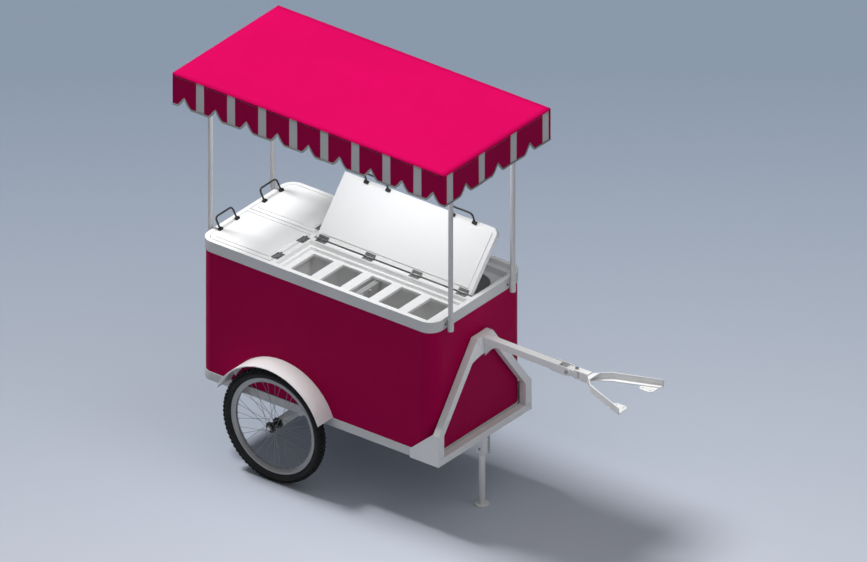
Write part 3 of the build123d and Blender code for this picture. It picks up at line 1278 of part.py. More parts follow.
TURNS = [coil_point(index / TURN_CHORDS) for index in range(SPRING_TURNS * TURN_CHORDS + 1)]
UPPER_HOOK = [hook_point(SPRING_TOP, 1, index / HOOK_CHORDS) for index in range(HOOK_CHORDS + 1)]
LOWER_HOOK = [hook_point(SPRING_BOTTOM, -1, 1 - index / HOOK_CHORDS) for index in range(HOOK_CHORDS + 1)]
with BuildPart() as stand_spring:
    with BuildLine() as wire:
        Polyline(*LOWER_HOOK, *TURNS, *UPPER_HOOK)
    with BuildSketch(Plane(wire.line @ 0, z_dir=wire.line % 0)):
        RegularPolygon(SPRING_WIRE / 2, WIRE_SIDES)
    sweep(path=wire.line, transition=Transition.RIGHT)
save(stand_spring, "stand_spring")

# Least gap of the spring's wire to itself, measured on points along its route
SAMPLES = SAMPLES_PER_TURN * SPRING_TURNS
ROUTE_POINTS = [wire.line @ (index / SAMPLES) for index in range(SAMPLES + 1)]
STEP_ALONG = sum(edge.length for edge in wire.edges()) / SAMPLES
SKIP = ceil(NEAR_WIRES * SPRING_WIRE / STEP_ALONG)
least_gap = min(
    (ROUTE_POINTS[first] - ROUTE_POINTS[second]).length
    for first in range(SAMPLES + 1)
    for second in range(first + SKIP, SAMPLES + 1)
)
print("stand spring least gap to itself, mm:", round(least_gap - SPRING_WIRE, 2))
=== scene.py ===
import json
import math
import bpy
import bmesh
from mathutils import Matrix, Vector


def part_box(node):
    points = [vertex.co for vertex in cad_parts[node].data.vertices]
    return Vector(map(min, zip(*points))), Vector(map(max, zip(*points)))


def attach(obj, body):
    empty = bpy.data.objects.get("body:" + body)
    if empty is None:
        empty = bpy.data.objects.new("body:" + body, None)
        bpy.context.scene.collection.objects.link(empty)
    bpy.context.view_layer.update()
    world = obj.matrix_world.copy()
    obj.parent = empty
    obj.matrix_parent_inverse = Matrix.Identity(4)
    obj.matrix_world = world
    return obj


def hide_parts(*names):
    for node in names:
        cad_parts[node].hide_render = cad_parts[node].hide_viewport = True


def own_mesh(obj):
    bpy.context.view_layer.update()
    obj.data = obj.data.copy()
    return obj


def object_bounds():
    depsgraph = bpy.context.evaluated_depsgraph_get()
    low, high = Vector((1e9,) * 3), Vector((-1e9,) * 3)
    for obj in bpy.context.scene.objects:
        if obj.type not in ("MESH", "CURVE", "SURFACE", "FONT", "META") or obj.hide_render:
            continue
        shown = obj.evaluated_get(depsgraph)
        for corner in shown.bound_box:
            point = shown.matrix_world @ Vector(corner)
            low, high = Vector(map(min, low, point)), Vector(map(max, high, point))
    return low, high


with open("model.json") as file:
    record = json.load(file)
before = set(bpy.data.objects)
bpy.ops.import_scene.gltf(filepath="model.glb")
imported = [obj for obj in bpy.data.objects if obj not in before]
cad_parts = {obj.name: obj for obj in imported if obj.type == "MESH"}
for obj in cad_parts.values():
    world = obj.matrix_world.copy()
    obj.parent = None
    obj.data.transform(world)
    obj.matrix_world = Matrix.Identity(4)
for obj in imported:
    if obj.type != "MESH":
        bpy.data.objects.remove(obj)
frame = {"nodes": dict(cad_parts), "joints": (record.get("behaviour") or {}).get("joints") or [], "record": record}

CAD_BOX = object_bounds()
NODES = frame["nodes"]
JOINTS = {joint["name"]: joint for joint in frame["joints"]}
SLOT_OF = {entry["node"]: entry["material_slot"] for entry in frame["record"]["subparts"]}
SCENE = bpy.context.scene
SIDES = {"right": -1, "left": 1}
X_AXIS = Vector((1, 0, 0))
Y_AXIS = Vector((0, 1, 0))
Z_AXIS = Vector((0, 0, 1))


def corners(node):
    """The lowest and highest corner of a CAD node, as vectors"""
    low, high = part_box(node)
    return Vector(low), Vector(high)


# Colour helpers, with the sRGB curve
FULL_LEVEL = 255
CURVE_KNEE = 0.04045
CURVE_SLOPE = 12.92
CURVE_OFFSET = 0.055
CURVE_POWER = 2.4


def linear(level):
    """One sRGB level from 0 to 255 as a linear value"""
    share = level / FULL_LEVEL
    if share <= CURVE_KNEE:
        return share / CURVE_SLOPE
    return ((share + CURVE_OFFSET) / (1 + CURVE_OFFSET)) ** CURVE_POWER


def srgb(red, green, blue):
    """A colour given in sRGB levels, as linear RGBA"""
    return (linear(red), linear(green), linear(blue), 1)


def grey(level):
    """A neutral colour"""
    return srgb(level, level, level)


def shade(colour, factor):
    """A colour made lighter or darker"""
    return tuple(min(channel * factor, 1) for channel in colour[:3]) + (1,)


# Material helpers, with the range that most of a noise falls in
NOISE_LOW = 0.3
NOISE_HIGH = 0.7


class Nodes:
    """A material's node tree with short ways to add and join nodes"""

    def __init__(self, name):
        self.material = bpy.data.materials.new(name)
        self.material.use_nodes = True
        self.tree = self.material.node_tree
        self.shader = self.tree.nodes["Principled BSDF"]
        self.coords = self.add("ShaderNodeTexCoord").outputs["Object"]

    def add(self, kind, **values):
        """A new node with some of its properties set"""
        node = self.tree.nodes.new(kind)
        for key, value in values.items():
            setattr(node, key, value)
        return node

    def link(self, out, into):
        """Join an output to an input"""
        self.tree.links.new(out, into)

    def set(self, **values):
        """Set inputs of the shader, with underscores for the spaces in their names"""
        for key, value in values.items():
            self.shader.inputs[key.replace("_", " ")].default_value = value

    def noise(self, scale, detail, rough=0.5, stretch=(1, 1, 1)):
        """Noise in object space, drawn out along an axis by a stretch"""
        mapping = self.add("ShaderNodeMapping")
        mapping.inputs["Scale"].default_value = stretch
        self.link(self.coords, mapping.inputs["Vector"])
        node = self.add("ShaderNodeTexNoise")
        node.inputs["Scale"].default_value = scale
        node.inputs["Detail"].default_value = detail
        node.inputs["Roughness"].default_value = rough
        self.link(mapping.outputs["Vector"], node.inputs["Vector"])
        return node.outputs["Fac"]

    def wave(self, axis, scale, distortion):
        """Bands across one axis in object space"""
        node = self.add("ShaderNodeTexWave", wave_type="BANDS", bands_direction=axis, wave_profile="SIN")
        node.inputs["Scale"].default_value = scale
        node.inputs["Distortion"].default_value = distortion
        self.link(self.coords, node.inputs["Vector"])
        return node.outputs["Fac"]

    def ramp(self, factor, low, high, start=NOISE_LOW, end=NOISE_HIGH):
        """A blend of two colours by a factor"""
        node = self.add("ShaderNodeValToRGB")
        first, second = node.color_ramp.elements
        first.position = start
        first.color = low
        second.position = end
        second.color = high
        self.link(factor, node.inputs["Fac"])
        return node.outputs["Color"]

    def span(self, factor, low, high, start=NOISE_LOW, end=NOISE_HIGH):
        """A factor mapped to a range of values"""
        node = self.add("ShaderNodeMapRange")
        node.inputs["From Min"].default_value = start
        node.inputs["From Max"].default_value = end
        node.inputs["To Min"].default_value = low
        node.inputs["To Max"].default_value = high
        self.link(factor, node.inputs["Value"])
        return node.outputs["Result"]

    def maths(self, operation, *values):
        """A sum, product or the like, of outputs and plain numbers"""
        node = self.add("ShaderNodeMath", operation=operation)
        for socket, value in zip(node.inputs, values):
            if hasattr(value, "is_output"):
                self.link(value, socket)
            else:
                socket.default_value = value
        return node.outputs["Value"]

    def tint(self, factor, colour, vary, start=NOISE_LOW, end=NOISE_HIGH):
        """Base colour that changes a little with a factor"""
        blend = self.ramp(factor, shade(colour, 1 - vary), shade(colour, 1 + vary), start, end)
        self.link(blend, self.shader.inputs["Base Color"])

    def gloss(self, factor, low, high, start=NOISE_LOW, end=NOISE_HIGH):
        """Roughness that changes with a factor"""
        self.link(self.span(factor, low, high, start, end), self.shader.inputs["Roughness"])

    def bump(self, height, strength, distance):
        """Relief on the surface"""
        node = self.add("ShaderNodeBump")
        node.inputs["Strength"].default_value = strength
        node.inputs["Distance"].default_value = distance
        self.link(height, node.inputs["Height"])
        self.link(node.outputs["Normal"], self.shader.inputs["Normal"])


# Kinds of material
GLOSS_BELOW = 0.06
GLOSS_ABOVE = 0.08
THREAD_AXES = "XYZ"
THREAD_SCALE = 130
THREAD_WOBBLE = 0.4
DUST = 1.3
FOAM_CELLS = 400


def moulded(name, colour, rough, specular=0.3, vary=0.03, grain=280):
    """A moulded or painted surface: slow changes of tone, a fine orange peel and worn gloss"""
    nodes = Nodes(name)
    nodes.tint(nodes.noise(scale=2.5, detail=4), colour, vary)
    peel = nodes.noise(scale=grain, detail=3, rough=0.6)
    wear = nodes.noise(scale=14, detail=5, rough=0.65)
    nodes.gloss(wear, rough - GLOSS_BELOW, rough + GLOSS_ABOVE)
    nodes.set(Specular_IOR_Level=specular)
    nodes.bump(peel, strength=0.04, distance=0.0004)
    return nodes.material


def metal(name, colour, rough, metallic, brushed=(1, 1, 1), vary=0.04):
    """Satin metal with brush marks along an axis and a few dull patches"""
    nodes = Nodes(name)
    nodes.tint(nodes.noise(scale=5, detail=4), colour, vary)
    marks = nodes.noise(scale=110, detail=4, rough=0.6, stretch=brushed)
    nodes.gloss(marks, rough - GLOSS_BELOW, rough + GLOSS_ABOVE)
    nodes.set(Metallic=metallic, Specular_IOR_Level=0.35)
    nodes.bump(marks, strength=0.03, distance=0.0003)
    return nodes.material


def woven(name, colour, vary=0.04):
    """Woven awning cloth: threads across all three axes, and slight fading"""
    nodes = Nodes(name)
    weave = nodes.wave(THREAD_AXES[0], THREAD_SCALE, THREAD_WOBBLE)
    for axis in THREAD_AXES[1:]:
        weave = nodes.maths("ADD", weave, nodes.wave(axis, THREAD_SCALE, THREAD_WOBBLE))
    nodes.tint(nodes.noise(scale=2.2, detail=5, rough=0.6), colour, vary)
    nodes.gloss(weave, low=0.78, high=0.92, start=0, end=len(THREAD_AXES))
    nodes.set(Specular_IOR_Level=0.06)
    nodes.bump(weave, strength=0.15, distance=0.0006)
    return nodes.material


def rubber(name, colour):
    """Tyre rubber, dusty in patches, with a fine grain"""
    nodes = Nodes(name)
    patches = nodes.noise(scale=9, detail=6, rough=0.65)
    nodes.tint(patches, shade(colour, DUST), vary=0.3, start=0.45, end=0.8)
    fine = nodes.noise(scale=420, detail=3, rough=0.6)
    nodes.gloss(fine, low=0.62, high=0.85)
    nodes.set(Specular_IOR_Level=0.3)
    nodes.bump(fine, strength=0.2, distance=0.0005)
    return nodes.material


def foamed(name, colour):
    """Foam board with open cells"""
    nodes = Nodes(name)
    cells = nodes.add("ShaderNodeTexVoronoi")
    cells.inputs["Scale"].default_value = FOAM_CELLS
    nodes.link(nodes.coords, cells.inputs["Vector"])
    nodes.tint(nodes.noise(scale=6, detail=3), colour, vary=0.05)
    nodes.gloss(cells.outputs["Distance"], low=0.85, high=0.95)
    nodes.bump(cells.outputs["Distance"], strength=0.3, distance=0.001)
    return nodes.material


# Materials, one for each slot and some for details
MATERIALS = {
    # The body is the canopy's pink; its darker maroon base colour is painted shade for the upright panels
    "body_red": moulded("pink_gelcoat_painted_shade", srgb(158, 0, 67), rough=0.45, specular=0.03),
    "counter_white": moulded("white_moulding", grey(244), rough=0.34, vary=0.01),
    # Pale aluminium band; its grey is partly its own colour and partly painted shade for its upright sides
    "grey_metal": metal("satin_aluminium_painted_shade", grey(196), rough=0.45, metallic=0.1, brushed=(1, 1, 14)),
    "steel_tube": moulded("pale_paint", grey(222), rough=0.4, grain=260),
    "bright_steel": metal("bright_steel", grey(150), rough=0.32, metallic=0.7),
    "rim_silver": metal("rim_alloy", grey(162), rough=0.34, metallic=0.4),
    "handle_dark": moulded("dark_grip", grey(56), rough=0.45, vary=0.08),
    "tyre_black": rubber("tyre_rubber", grey(31)),
    "canopy_cloth": woven("canopy_cloth", srgb(236, 2, 102)),
    "foam": foamed("foam_board", srgb(225, 215, 185)),
}
# The valance is the canopy's pink cloth; its darker maroon is painted shade for the hanging sides
VALANCE = woven("valance_cloth_painted_shade", srgb(156, 0, 66))
# The stripes are white cloth; their grey is painted shade for the hanging sides
STRIPES = woven("stripe_cloth_painted_shade", grey(190), vary=0.03)
BINDING = woven("binding_cloth", grey(150), vary=0.03)
BACKING = woven("cloth_backing", grey(226), vary=0.02)
DARK_FOOT = moulded("black_plastic", grey(30), rough=0.4, vary=0.08)
DARK_HUB = metal("black_hub", grey(46), rough=0.34, metallic=0.4, vary=0.08)
WELL = moulded("well_lining", grey(242), rough=0.4, vary=0.015)
SCREW = metal("dark_screw", grey(70), rough=0.4, metallic=0.6)

for name, obj in NODES.items():
    for material_slot in obj.material_slots:
        material_slot.material = MATERIALS[SLOT_OF[name]]
SPECIAL = {
    "hub_right": DARK_HUB,
    "hub_left": DARK_HUB,
    "liners": WELL,
    "rear_bins": WELL,
    "socket_bolts": SCREW,
}
for name, material in SPECIAL.items():
    NODES[name].material_slots[0].material = material


# Angles in degrees above which an edge stays sharp in the shading of each kind of shape
ROUND_ANGLE = 60
BENT_ANGLE = 50
BLOCK_ANGLE = 40
FOLD_ANGLE = 30
RING_ANGLE = 28
FACET_ANGLE = 24

# Mesh helpers
BEVEL_ANGLE = 40
BEVEL_FULLNESS = 0.6
WELD = 0.00002


def piece(name, mesh_data, body, slot, *materials):
    """A new piece from a bmesh, riding on a body"""
    mesh = bpy.data.meshes.new(name)
    bmesh.ops.recalc_face_normals(mesh_data, faces=mesh_data.faces)
    mesh_data.to_mesh(mesh)
    mesh_data.free()
    obj = bpy.data.objects.new(name, mesh)
    SCENE.collection.objects.link(obj)
    for material in materials:
        mesh.materials.append(material)
    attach(obj, body)
    return obj


def smooth(obj, angle):
    """Smooth shading with edges sharper than an angle kept"""
    obj.data.polygons.foreach_set("use_smooth", [True] * len(obj.data.polygons))
    obj.data.set_sharp_from_angle(angle=math.radians(angle))


def thicken(obj, thickness, backing):
    """Give a sheet its thickness inwards, and a pale coated back"""
    solid = obj.modifiers.new("thickness", "SOLIDIFY")
    solid.thickness = thickness
    solid.offset = -1
    own_count = len(obj.data.materials)
    solid.material_offset = own_count
    for _ in range(own_count):
        obj.data.materials.append(backing)


def soften(width, segments, *names):
    """Round the edges of CAD nodes a little"""
    for name in names:
        weld = NODES[name].modifiers.new("weld", "WELD")
        weld.merge_threshold = WELD
        bevel = NODES[name].modifiers.new("bevel", "BEVEL")
        bevel.width = width
        bevel.segments = segments
        bevel.limit_method = "ANGLE"
        bevel.angle_limit = math.radians(BEVEL_ANGLE)
        bevel.harden_normals = True


def smoothing(angle):
    """A node group that welds a mesh and shades it smoothly across edges flatter than an angle"""
    group = bpy.data.node_groups.new("smooth_shading", "GeometryNodeTree")
    for direction in ("INPUT", "OUTPUT"):
        group.interface.new_socket("Geometry", in_out=direction, socket_type="NodeSocketGeometry")
    start = group.nodes.new("NodeGroupInput")
    weld = group.nodes.new("GeometryNodeMergeByDistance")
    weld.inputs["Distance"].default_value = WELD
    plain = group.nodes.new("GeometryNodeRemoveAttribute")
    plain.inputs["Name"].default_value = "custom_normal"
    round_faces = group.nodes.new("GeometryNodeSetShadeSmooth")
    sharp_edges = group.nodes.new("GeometryNodeSetShadeSmooth")
    sharp_edges.domain = "EDGE"
    sharp_edges.inputs["Shade Smooth"].default_value = False
    bend = group.nodes.new("GeometryNodeInputMeshEdgeAngle")
    steep = group.nodes.new("FunctionNodeCompare")
    steep.operation = "GREATER_THAN"
    steep.inputs["B"].default_value = math.radians(angle)
    end = group.nodes.new("NodeGroupOutput")
    chain = (start, plain, weld, round_faces, sharp_edges, end)
    for one, two in zip(chain, chain[1:]):
        group.links.new(one.outputs[0], two.inputs[0])
    group.links.new(bend.outputs["Unsigned Angle"], steep.inputs["A"])
    group.links.new(steep.outputs["Result"], sharp_edges.inputs["Selection"])
    return group


def shade_round(*names):
    """Smooth shading for CAD nodes that are round in many flat sides"""
    for name in names:
        NODES[name].modifiers.new("smooth", "NODES").node_group = SMOOTHING


def tube(mesh_data, points, radius, sides, closed=False):
    """A round tube along points, with an untwisted section"""
    points = [Vector(point) for point in points]
    count = len(points)
    rings = []
    normal = None
    for index, point in enumerate(points):
        before = points[index - 1] if index or closed else point
        after = points[(index + 1) % count] if index < count - 1 or closed else point
        heading = (after - before).normalized()
        if normal is None:
            normal = heading.orthogonal().normalized()
        else:
            normal = (normal - heading * normal.dot(heading)).normalized()
        across = heading.cross(normal)
        ring = []
        for step in range(sides):
            angle = 2 * math.pi * step / sides
            spot = point + radius * (math.cos(angle) * normal + math.sin(angle) * across)
            ring.append(mesh_data.verts.new(spot))
        rings.append(ring)
    skin(mesh_data, rings, closed)
    if not closed:
        mesh_data.faces.new(list(reversed(rings[0])))
        mesh_data.faces.new(rings[-1])


def skin(mesh_data, rings, closed):
    """Faces between rings of the same number of points"""
    pairs = list(zip(rings, rings[1:]))
    if closed:
        pairs.append((rings[-1], rings[0]))
    for one, two in pairs:
        for step in range(len(one)):
            following = (step + 1) % len(one)
            mesh_data.faces.new((one[step], one[following], two[following], two[step]))


def lathe(mesh_data, centre, profile, segments):
    """A closed ring turned about a line along Y, from points of radius and place across"""
    rings = []
    for index in range(segments):
        angle = 2 * math.pi * index / segments
        radial = Vector((math.cos(angle), 0, math.sin(angle)))
        spots = [centre + radial * radius + Y_AXIS * across for radius, across in profile]
        rings.append([mesh_data.verts.new(spot) for spot in spots])
    skin(mesh_data, rings, True)


def basis(along, across, upward, place):
    """A matrix with given axes at a place"""
    matrix = Matrix((along, across, upward)).transposed().to_4x4()
    matrix.translation = place
    return matrix


def brick(mesh_data, matrix, size, edge, segments):
    """A box with softened edges"""
    made = bmesh.ops.create_cube(mesh_data, size=1, matrix=matrix @ Matrix.Diagonal((*size, 1)))
    edges = list({line for vertex in made["verts"] for line in vertex.link_edges})
    bmesh.ops.bevel(
        mesh_data,
        geom=edges,
        offset=edge,
        segments=segments,
        affect="EDGES",
        profile=BEVEL_FULLNESS,
    )


def islands(node):
    """The lowest and highest corner of each separate solid of a CAD node"""
    mesh_data = bmesh.new()
    mesh_data.from_mesh(NODES[node].data)
    mesh_data.transform(NODES[node].matrix_world)
    bmesh.ops.remove_doubles(mesh_data, verts=mesh_data.verts, dist=WELD)
    left = set(mesh_data.verts)
    boxes = []
    while left:
        reached = {left.pop()}
        waiting = list(reached)
        while waiting:
            vertex = waiting.pop()
            for line in vertex.link_edges:
                other = line.other_vert(vertex)
                if other not in reached:
                    reached.add(other)
                    waiting.append(other)
        left -= reached
        places = [vertex.co for vertex in reached]
        low = Vector([min(place[axis] for place in places) for axis in range(3)])
        high = Vector([max(place[axis] for place in places) for axis in range(3)])
        boxes.append((low, high))
    mesh_data.free()
    return boxes


# Canopy sizes, from the cover's box and its CAD notches
COVER_LOW, COVER_HIGH = corners("canopy_cover")
COVER_MIDDLE = (COVER_LOW + COVER_HIGH) / 2
COVER_TOP = COVER_HIGH.z
DROP = COVER_HIGH.z - COVER_LOW.z
HEM = 0.002
HALF_X = (COVER_HIGH.x - COVER_LOW.x) / 2 - HEM
HALF_Y = (COVER_HIGH.y - COVER_LOW.y) / 2 - HEM
SIDE_MARGIN = 0.076
END_MARGIN = 0.172
SIDE_COUNT = 9
END_COUNT = 3
STRIPE_HALF = 0.024
NOTCH_HALF = 0.045
NOTCH_RISE = 0.052
NOTCH_STEPS = 6
NOTCH_POWER = 1.5
COLUMN_MERGE = 0.0005
COLUMN_STEP = 0.03
CORNER_WELD = 0.00005
CLOTH = 0.0022
SEAM_DROP = 0.004
ROWS = 8
RIPPLE = 0.0014
RIPPLE_RATE = 31.7
CORNER_FADE = 0.03
OUTWARD = (-Y_AXIS, X_AXIS, Y_AXIS, -X_AXIS)


def spread(half, margin, count):
    """Places of the notches along a side"""
    pitch = 2 * (half + HEM - margin) / (count - 1)
    return [(index - (count - 1) / 2) * pitch for index in range(count)]


def between(places):
    """Middles of neighbouring places, and one more past each end"""
    pitch = places[1] - places[0]
    return [places[0] - pitch / 2] + [place + pitch / 2 for place in places]


SIDE_NOTCHES = spread(HALF_X, SIDE_MARGIN, SIDE_COUNT)
END_NOTCHES = spread(HALF_Y, END_MARGIN, END_COUNT)
VALANCES = []
for outward in OUTWARD:
    is_side = outward.y != 0
    VALANCES.append({
        "outward": outward,
        "along": Z_AXIS.cross(outward),
        "half": HALF_X if is_side else HALF_Y,
        "reach": HALF_Y if is_side else HALF_X,
        "notches": SIDE_NOTCHES if is_side else END_NOTCHES,
        "stripes": between(SIDE_NOTCHES)[1:-1] if is_side else between(END_NOTCHES),
    })


def lower_edge(along, notches):
    """Height of the valance's lower edge above its lowest line"""
    for place in notches:
        reach = abs(along - place) / NOTCH_HALF
        if reach < 1:
            return NOTCH_RISE * (1 - reach) ** NOTCH_POWER
    return 0


def columns(valance):
    """Places along a valance, with lines on each stripe's edges and each notch's curve"""
    fixed = {-valance["half"], valance["half"]}
    for place in valance["stripes"]:
        fixed |= {place - STRIPE_HALF, place + STRIPE_HALF}
    for place in valance["notches"]:
        for step in range(-NOTCH_STEPS, NOTCH_STEPS + 1):
            fixed.add(place + NOTCH_HALF * step / NOTCH_STEPS)
    kept = sorted(place for place in fixed if abs(place) <= valance["half"])
    filled = [kept[0]]
    for place in kept[1:]:
        start = filled[-1]
        gap = place - start
        if gap < COLUMN_MERGE:
            continue
        parts = math.ceil(gap / COLUMN_STEP)
        filled += [start + gap * part / parts for part in range(1, parts + 1)]
    return filled


def valance_point(valance, along, depth, out=0):
    """A point on a valance, by its place along and depth under the top, rippled away from the corners"""
    fade = min((valance["half"] - abs(along)) / CORNER_FADE, 1)
    ripple = RIPPLE * math.sin(along * RIPPLE_RATE + valance["reach"]) * fade * depth / DROP
    flat = valance["along"] * along + valance["outward"] * (valance["reach"] + ripple + out)
    return Vector((COVER_MIDDLE.x + flat.x, COVER_MIDDLE.y + flat.y, COVER_TOP - depth))


# Valance: four hanging strips in one cloth, with the stripes as their own faces. The cloth and stripe colours are
# darkened as painted shade
PLAIN_FACE, STRIPE_FACE = 0, 1
valance_mesh = bmesh.new()
EDGE_RUNS = []
for valance in VALANCES:
    places = columns(valance)
    grid = []
    for along in places:
        bottom = DROP - lower_edge(along, valance["notches"])
        depths = [SEAM_DROP + (bottom - SEAM_DROP) * row / ROWS for row in range(ROWS + 1)]
        grid.append([valance_mesh.verts.new(valance_point(valance, along, depth)) for depth in depths])
    EDGE_RUNS.append([column[-1].co.copy() for column in grid])
    for left, right, start, end in zip(grid, grid[1:], places, places[1:]):
        middle = (start + end) / 2
        striped = any(abs(middle - place) < STRIPE_HALF for place in valance["stripes"])
        for row in range(ROWS):
            face = valance_mesh.faces.new((left[row], left[row + 1], right[row + 1], right[row]))
            face.material_index = STRIPE_FACE if striped else PLAIN_FACE
bmesh.ops.remove_doubles(valance_mesh, verts=valance_mesh.verts, dist=CORNER_WELD)
valance_cloth_painted_shade = piece("canopy_valance", valance_mesh, "canopy", "canopy_cloth", VALANCE, STRIPES)
smooth(valance_cloth_painted_shade, BENT_ANGLE)
thicken(valance_cloth_painted_shade, CLOTH, BACKING)

# Top cloth, sagging a little between the tubes of the frame
TOP_STEPS_X, TOP_STEPS_Y = 48, 24
SAG = 0.0011
SAG_BAYS = 3
TOP_DROP = 0.0004
top_mesh = bmesh.new()
grid = []
for step_x in range(TOP_STEPS_X + 1):
    row = []
    for step_y in range(TOP_STEPS_Y + 1):
        share_x = step_x / TOP_STEPS_X
        share_y = step_y / TOP_STEPS_Y
        sag = SAG * (math.sin(math.pi * share_x * SAG_BAYS) * math.sin(math.pi * share_y)) ** 2
        place_x = COVER_MIDDLE.x + (2 * share_x - 1) * HALF_X
        place_y = COVER_MIDDLE.y + (2 * share_y - 1) * HALF_Y
        row.append(top_mesh.verts.new((place_x, place_y, COVER_TOP - TOP_DROP - sag)))
    grid.append(row)
for near, far in zip(grid, grid[1:]):
    for step in range(TOP_STEPS_Y):
        top_mesh.faces.new((near[step], far[step], far[step + 1], near[step + 1]))
top_cloth = piece("canopy_top", top_mesh, "canopy", "canopy_cloth", MATERIALS["canopy_cloth"])
smooth(top_cloth, ROUND_ANGLE)
thicken(top_cloth, CLOTH, BACKING)
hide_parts("canopy_cover")

# Corded seam round the top edge
BEAD = 0.0042
BEAD_CORNER = 0.012
BEAD_ARC = 6
BEAD_SIDES = 10
bead_route = []
for quarter, (sign_x, sign_y) in enumerate(((1, -1), (1, 1), (-1, 1), (-1, -1))):
    centre_x = COVER_MIDDLE.x + sign_x * (HALF_X + HEM - BEAD - BEAD_CORNER)
    centre_y = COVER_MIDDLE.y + sign_y * (HALF_Y + HEM - BEAD - BEAD_CORNER)
    for step in range(BEAD_ARC + 1):
        angle = math.radians(90) * (quarter - 1 + step / BEAD_ARC)
        place_x = centre_x + BEAD_CORNER * math.cos(angle)
        place_y = centre_y + BEAD_CORNER * math.sin(angle)
        bead_route.append((place_x, place_y, COVER_TOP - BEAD - HEM))
bead_mesh = bmesh.new()
tube(bead_mesh, bead_route, BEAD, BEAD_SIDES, closed=True)
bead = piece("canopy_bead", bead_mesh, "canopy", "canopy_cloth", MATERIALS["canopy_cloth"])
smooth(bead, ROUND_ANGLE)

# Binding folded over the notched lower edge
BINDING_HEIGHT = 0.009
BINDING_PROUD = 0.0012
BINDING_CLOTH = 0.0008
binding_mesh = bmesh.new()
for valance, run in zip(VALANCES, EDGE_RUNS):
    outward = valance["outward"]
    face_out = outward * BINDING_PROUD
    face_in = -outward * (CLOTH + BINDING_PROUD)
    strips = []
    for index, point in enumerate(run):
        before = run[max(index - 1, 0)]
        after = run[min(index + 1, len(run) - 1)]
        upward = outward.cross(after - before).normalized()
        if upward.z < 0:
            upward = -upward
        rise = upward * BINDING_HEIGHT
        turn = -upward * BINDING_PROUD
        section = (face_out + rise, face_out + turn, face_in + turn, face_in + rise)
        strips.append([binding_mesh.verts.new(point + offset) for offset in section])
    for one, two in zip(strips, strips[1:]):
        for step in range(len(one) - 1):
            binding_mesh.faces.new((one[step], one[step + 1], two[step + 1], two[step]))
binding = piece("valance_binding", binding_mesh, "canopy", "canopy_cloth", BINDING)
smooth(binding, FOLD_ANGLE)
folded = binding.modifiers.new("thickness", "SOLIDIFY")
folded.thickness = BINDING_CLOTH
folded.offset = 0

# Stitches under the corded seam
STITCH = 0.009
STITCH_PITCH = 0.016
STITCH_DEPTH = 0.0165
STITCH_RADIUS = 0.0006
STITCH_END = 0.02
STITCH_SIDES = 5
stitch_mesh = bmesh.new()
for valance in VALANCES:
    count = int(2 * (valance["half"] - STITCH_END) / STITCH_PITCH)
    for index in range(count):
        start = STITCH_END - valance["half"] + STITCH_PITCH * index
        spots = (start, start + STITCH)
        ends = [valance_point(valance, along, STITCH_DEPTH, STITCH_RADIUS) for along in spots]
        tube(stitch_mesh, ends, STITCH_RADIUS, STITCH_SIDES)
stitches = piece("valance_stitches", stitch_mesh, "canopy", "canopy_cloth", BINDING)

# Tyre and rim details; each wheel's main sizes come from the boxes of its CAD tyre and rim
TREAD = 0.008
KNOB_COUNT = 76
KNOB_HEIGHT = 0.011
KNOB_EDGE = 0.0009
KNOB_EDGE_STEPS = 1
KNOB_ROWS = (
    {"across": 0.0045, "width": 0.0075, "length": 0.012, "phases": (0.5, 0)},
    {"across": 0.0150, "width": 0.0085, "length": 0.013, "phases": (0.25, 0.75)},
    {"across": 0.0225, "width": 0.0050, "length": 0.014, "phases": (0.75, 0.25)},
)
BEAD_GAP = 0.0003
RIM_WALL = 0.0025
RIM_BED = 0.0095
RIM_INNER = 0.235
FLANGE_ROUND = 0.0006
RING_STEPS = 144
CARCASS_ARC = 140
CARCASS_STEPS = 24
CROWN_CURVE = 9.5


def tyre_profile(radius, half, rim_radius, rim_half):
    """Half-round carcass on two beads that sit in the rim"""
    outer = radius - TREAD
    inner = rim_radius + BEAD_GAP
    middle = (outer + inner) / 2
    profile = []
    for step in range(CARCASS_STEPS + 1):
        angle = math.radians(CARCASS_ARC) * (2 * step / CARCASS_STEPS - 1)
        profile.append((middle + (outer - inner) / 2 * math.cos(angle), half * math.sin(angle)))
    bead_half = rim_half - RIM_WALL - BEAD_GAP
    bed = rim_radius - RIM_BED + BEAD_GAP
    return profile + [(inner, bead_half), (bed, bead_half), (bed, -bead_half), (inner, -bead_half)]


def rim_profile(rim_radius, rim_half):
    """The CAD rim's section with rounded flanges: a bed, straight sides and slopes to a narrow edge"""
    bed = rim_radius - RIM_BED
    wall = rim_half - RIM_WALL
    profile = [
        (bed, wall),
        (rim_radius - FLANGE_ROUND, wall),
        (rim_radius, wall + FLANGE_ROUND),
        (rim_radius, rim_half - FLANGE_ROUND),
        (rim_radius - FLANGE_ROUND, rim_half),
        (bed - RIM_WALL, rim_half),
        (RIM_INNER, rim_half / 2),
    ]
    return profile + [(radius, -across) for radius, across in reversed(profile)]


def tread_knobs(mesh_data, centre, radius, half):
    """Rows of knobs round the tread, leaning outwards towards the shoulders"""
    for row in KNOB_ROWS:
        size = (row["length"], row["width"], KNOB_HEIGHT)
        for sign, phase in zip((1, -1), row["phases"]):
            across = sign * row["across"]
            lean = math.asin(across / half)
            crown = radius - KNOB_HEIGHT / 2 - CROWN_CURVE * across ** 2
            for index in range(KNOB_COUNT):
                angle = 2 * math.pi * (index + phase) / KNOB_COUNT
                radial = Vector((math.cos(angle), 0, math.sin(angle)))
                forward = Vector((-math.sin(angle), 0, math.cos(angle)))
                upward = radial * math.cos(lean) + Y_AXIS * math.sin(lean)
                place = centre + radial * crown + Y_AXIS * across
                matrix = basis(forward, upward.cross(forward), upward, place)
                brick(mesh_data, matrix, size, KNOB_EDGE, KNOB_EDGE_STEPS)


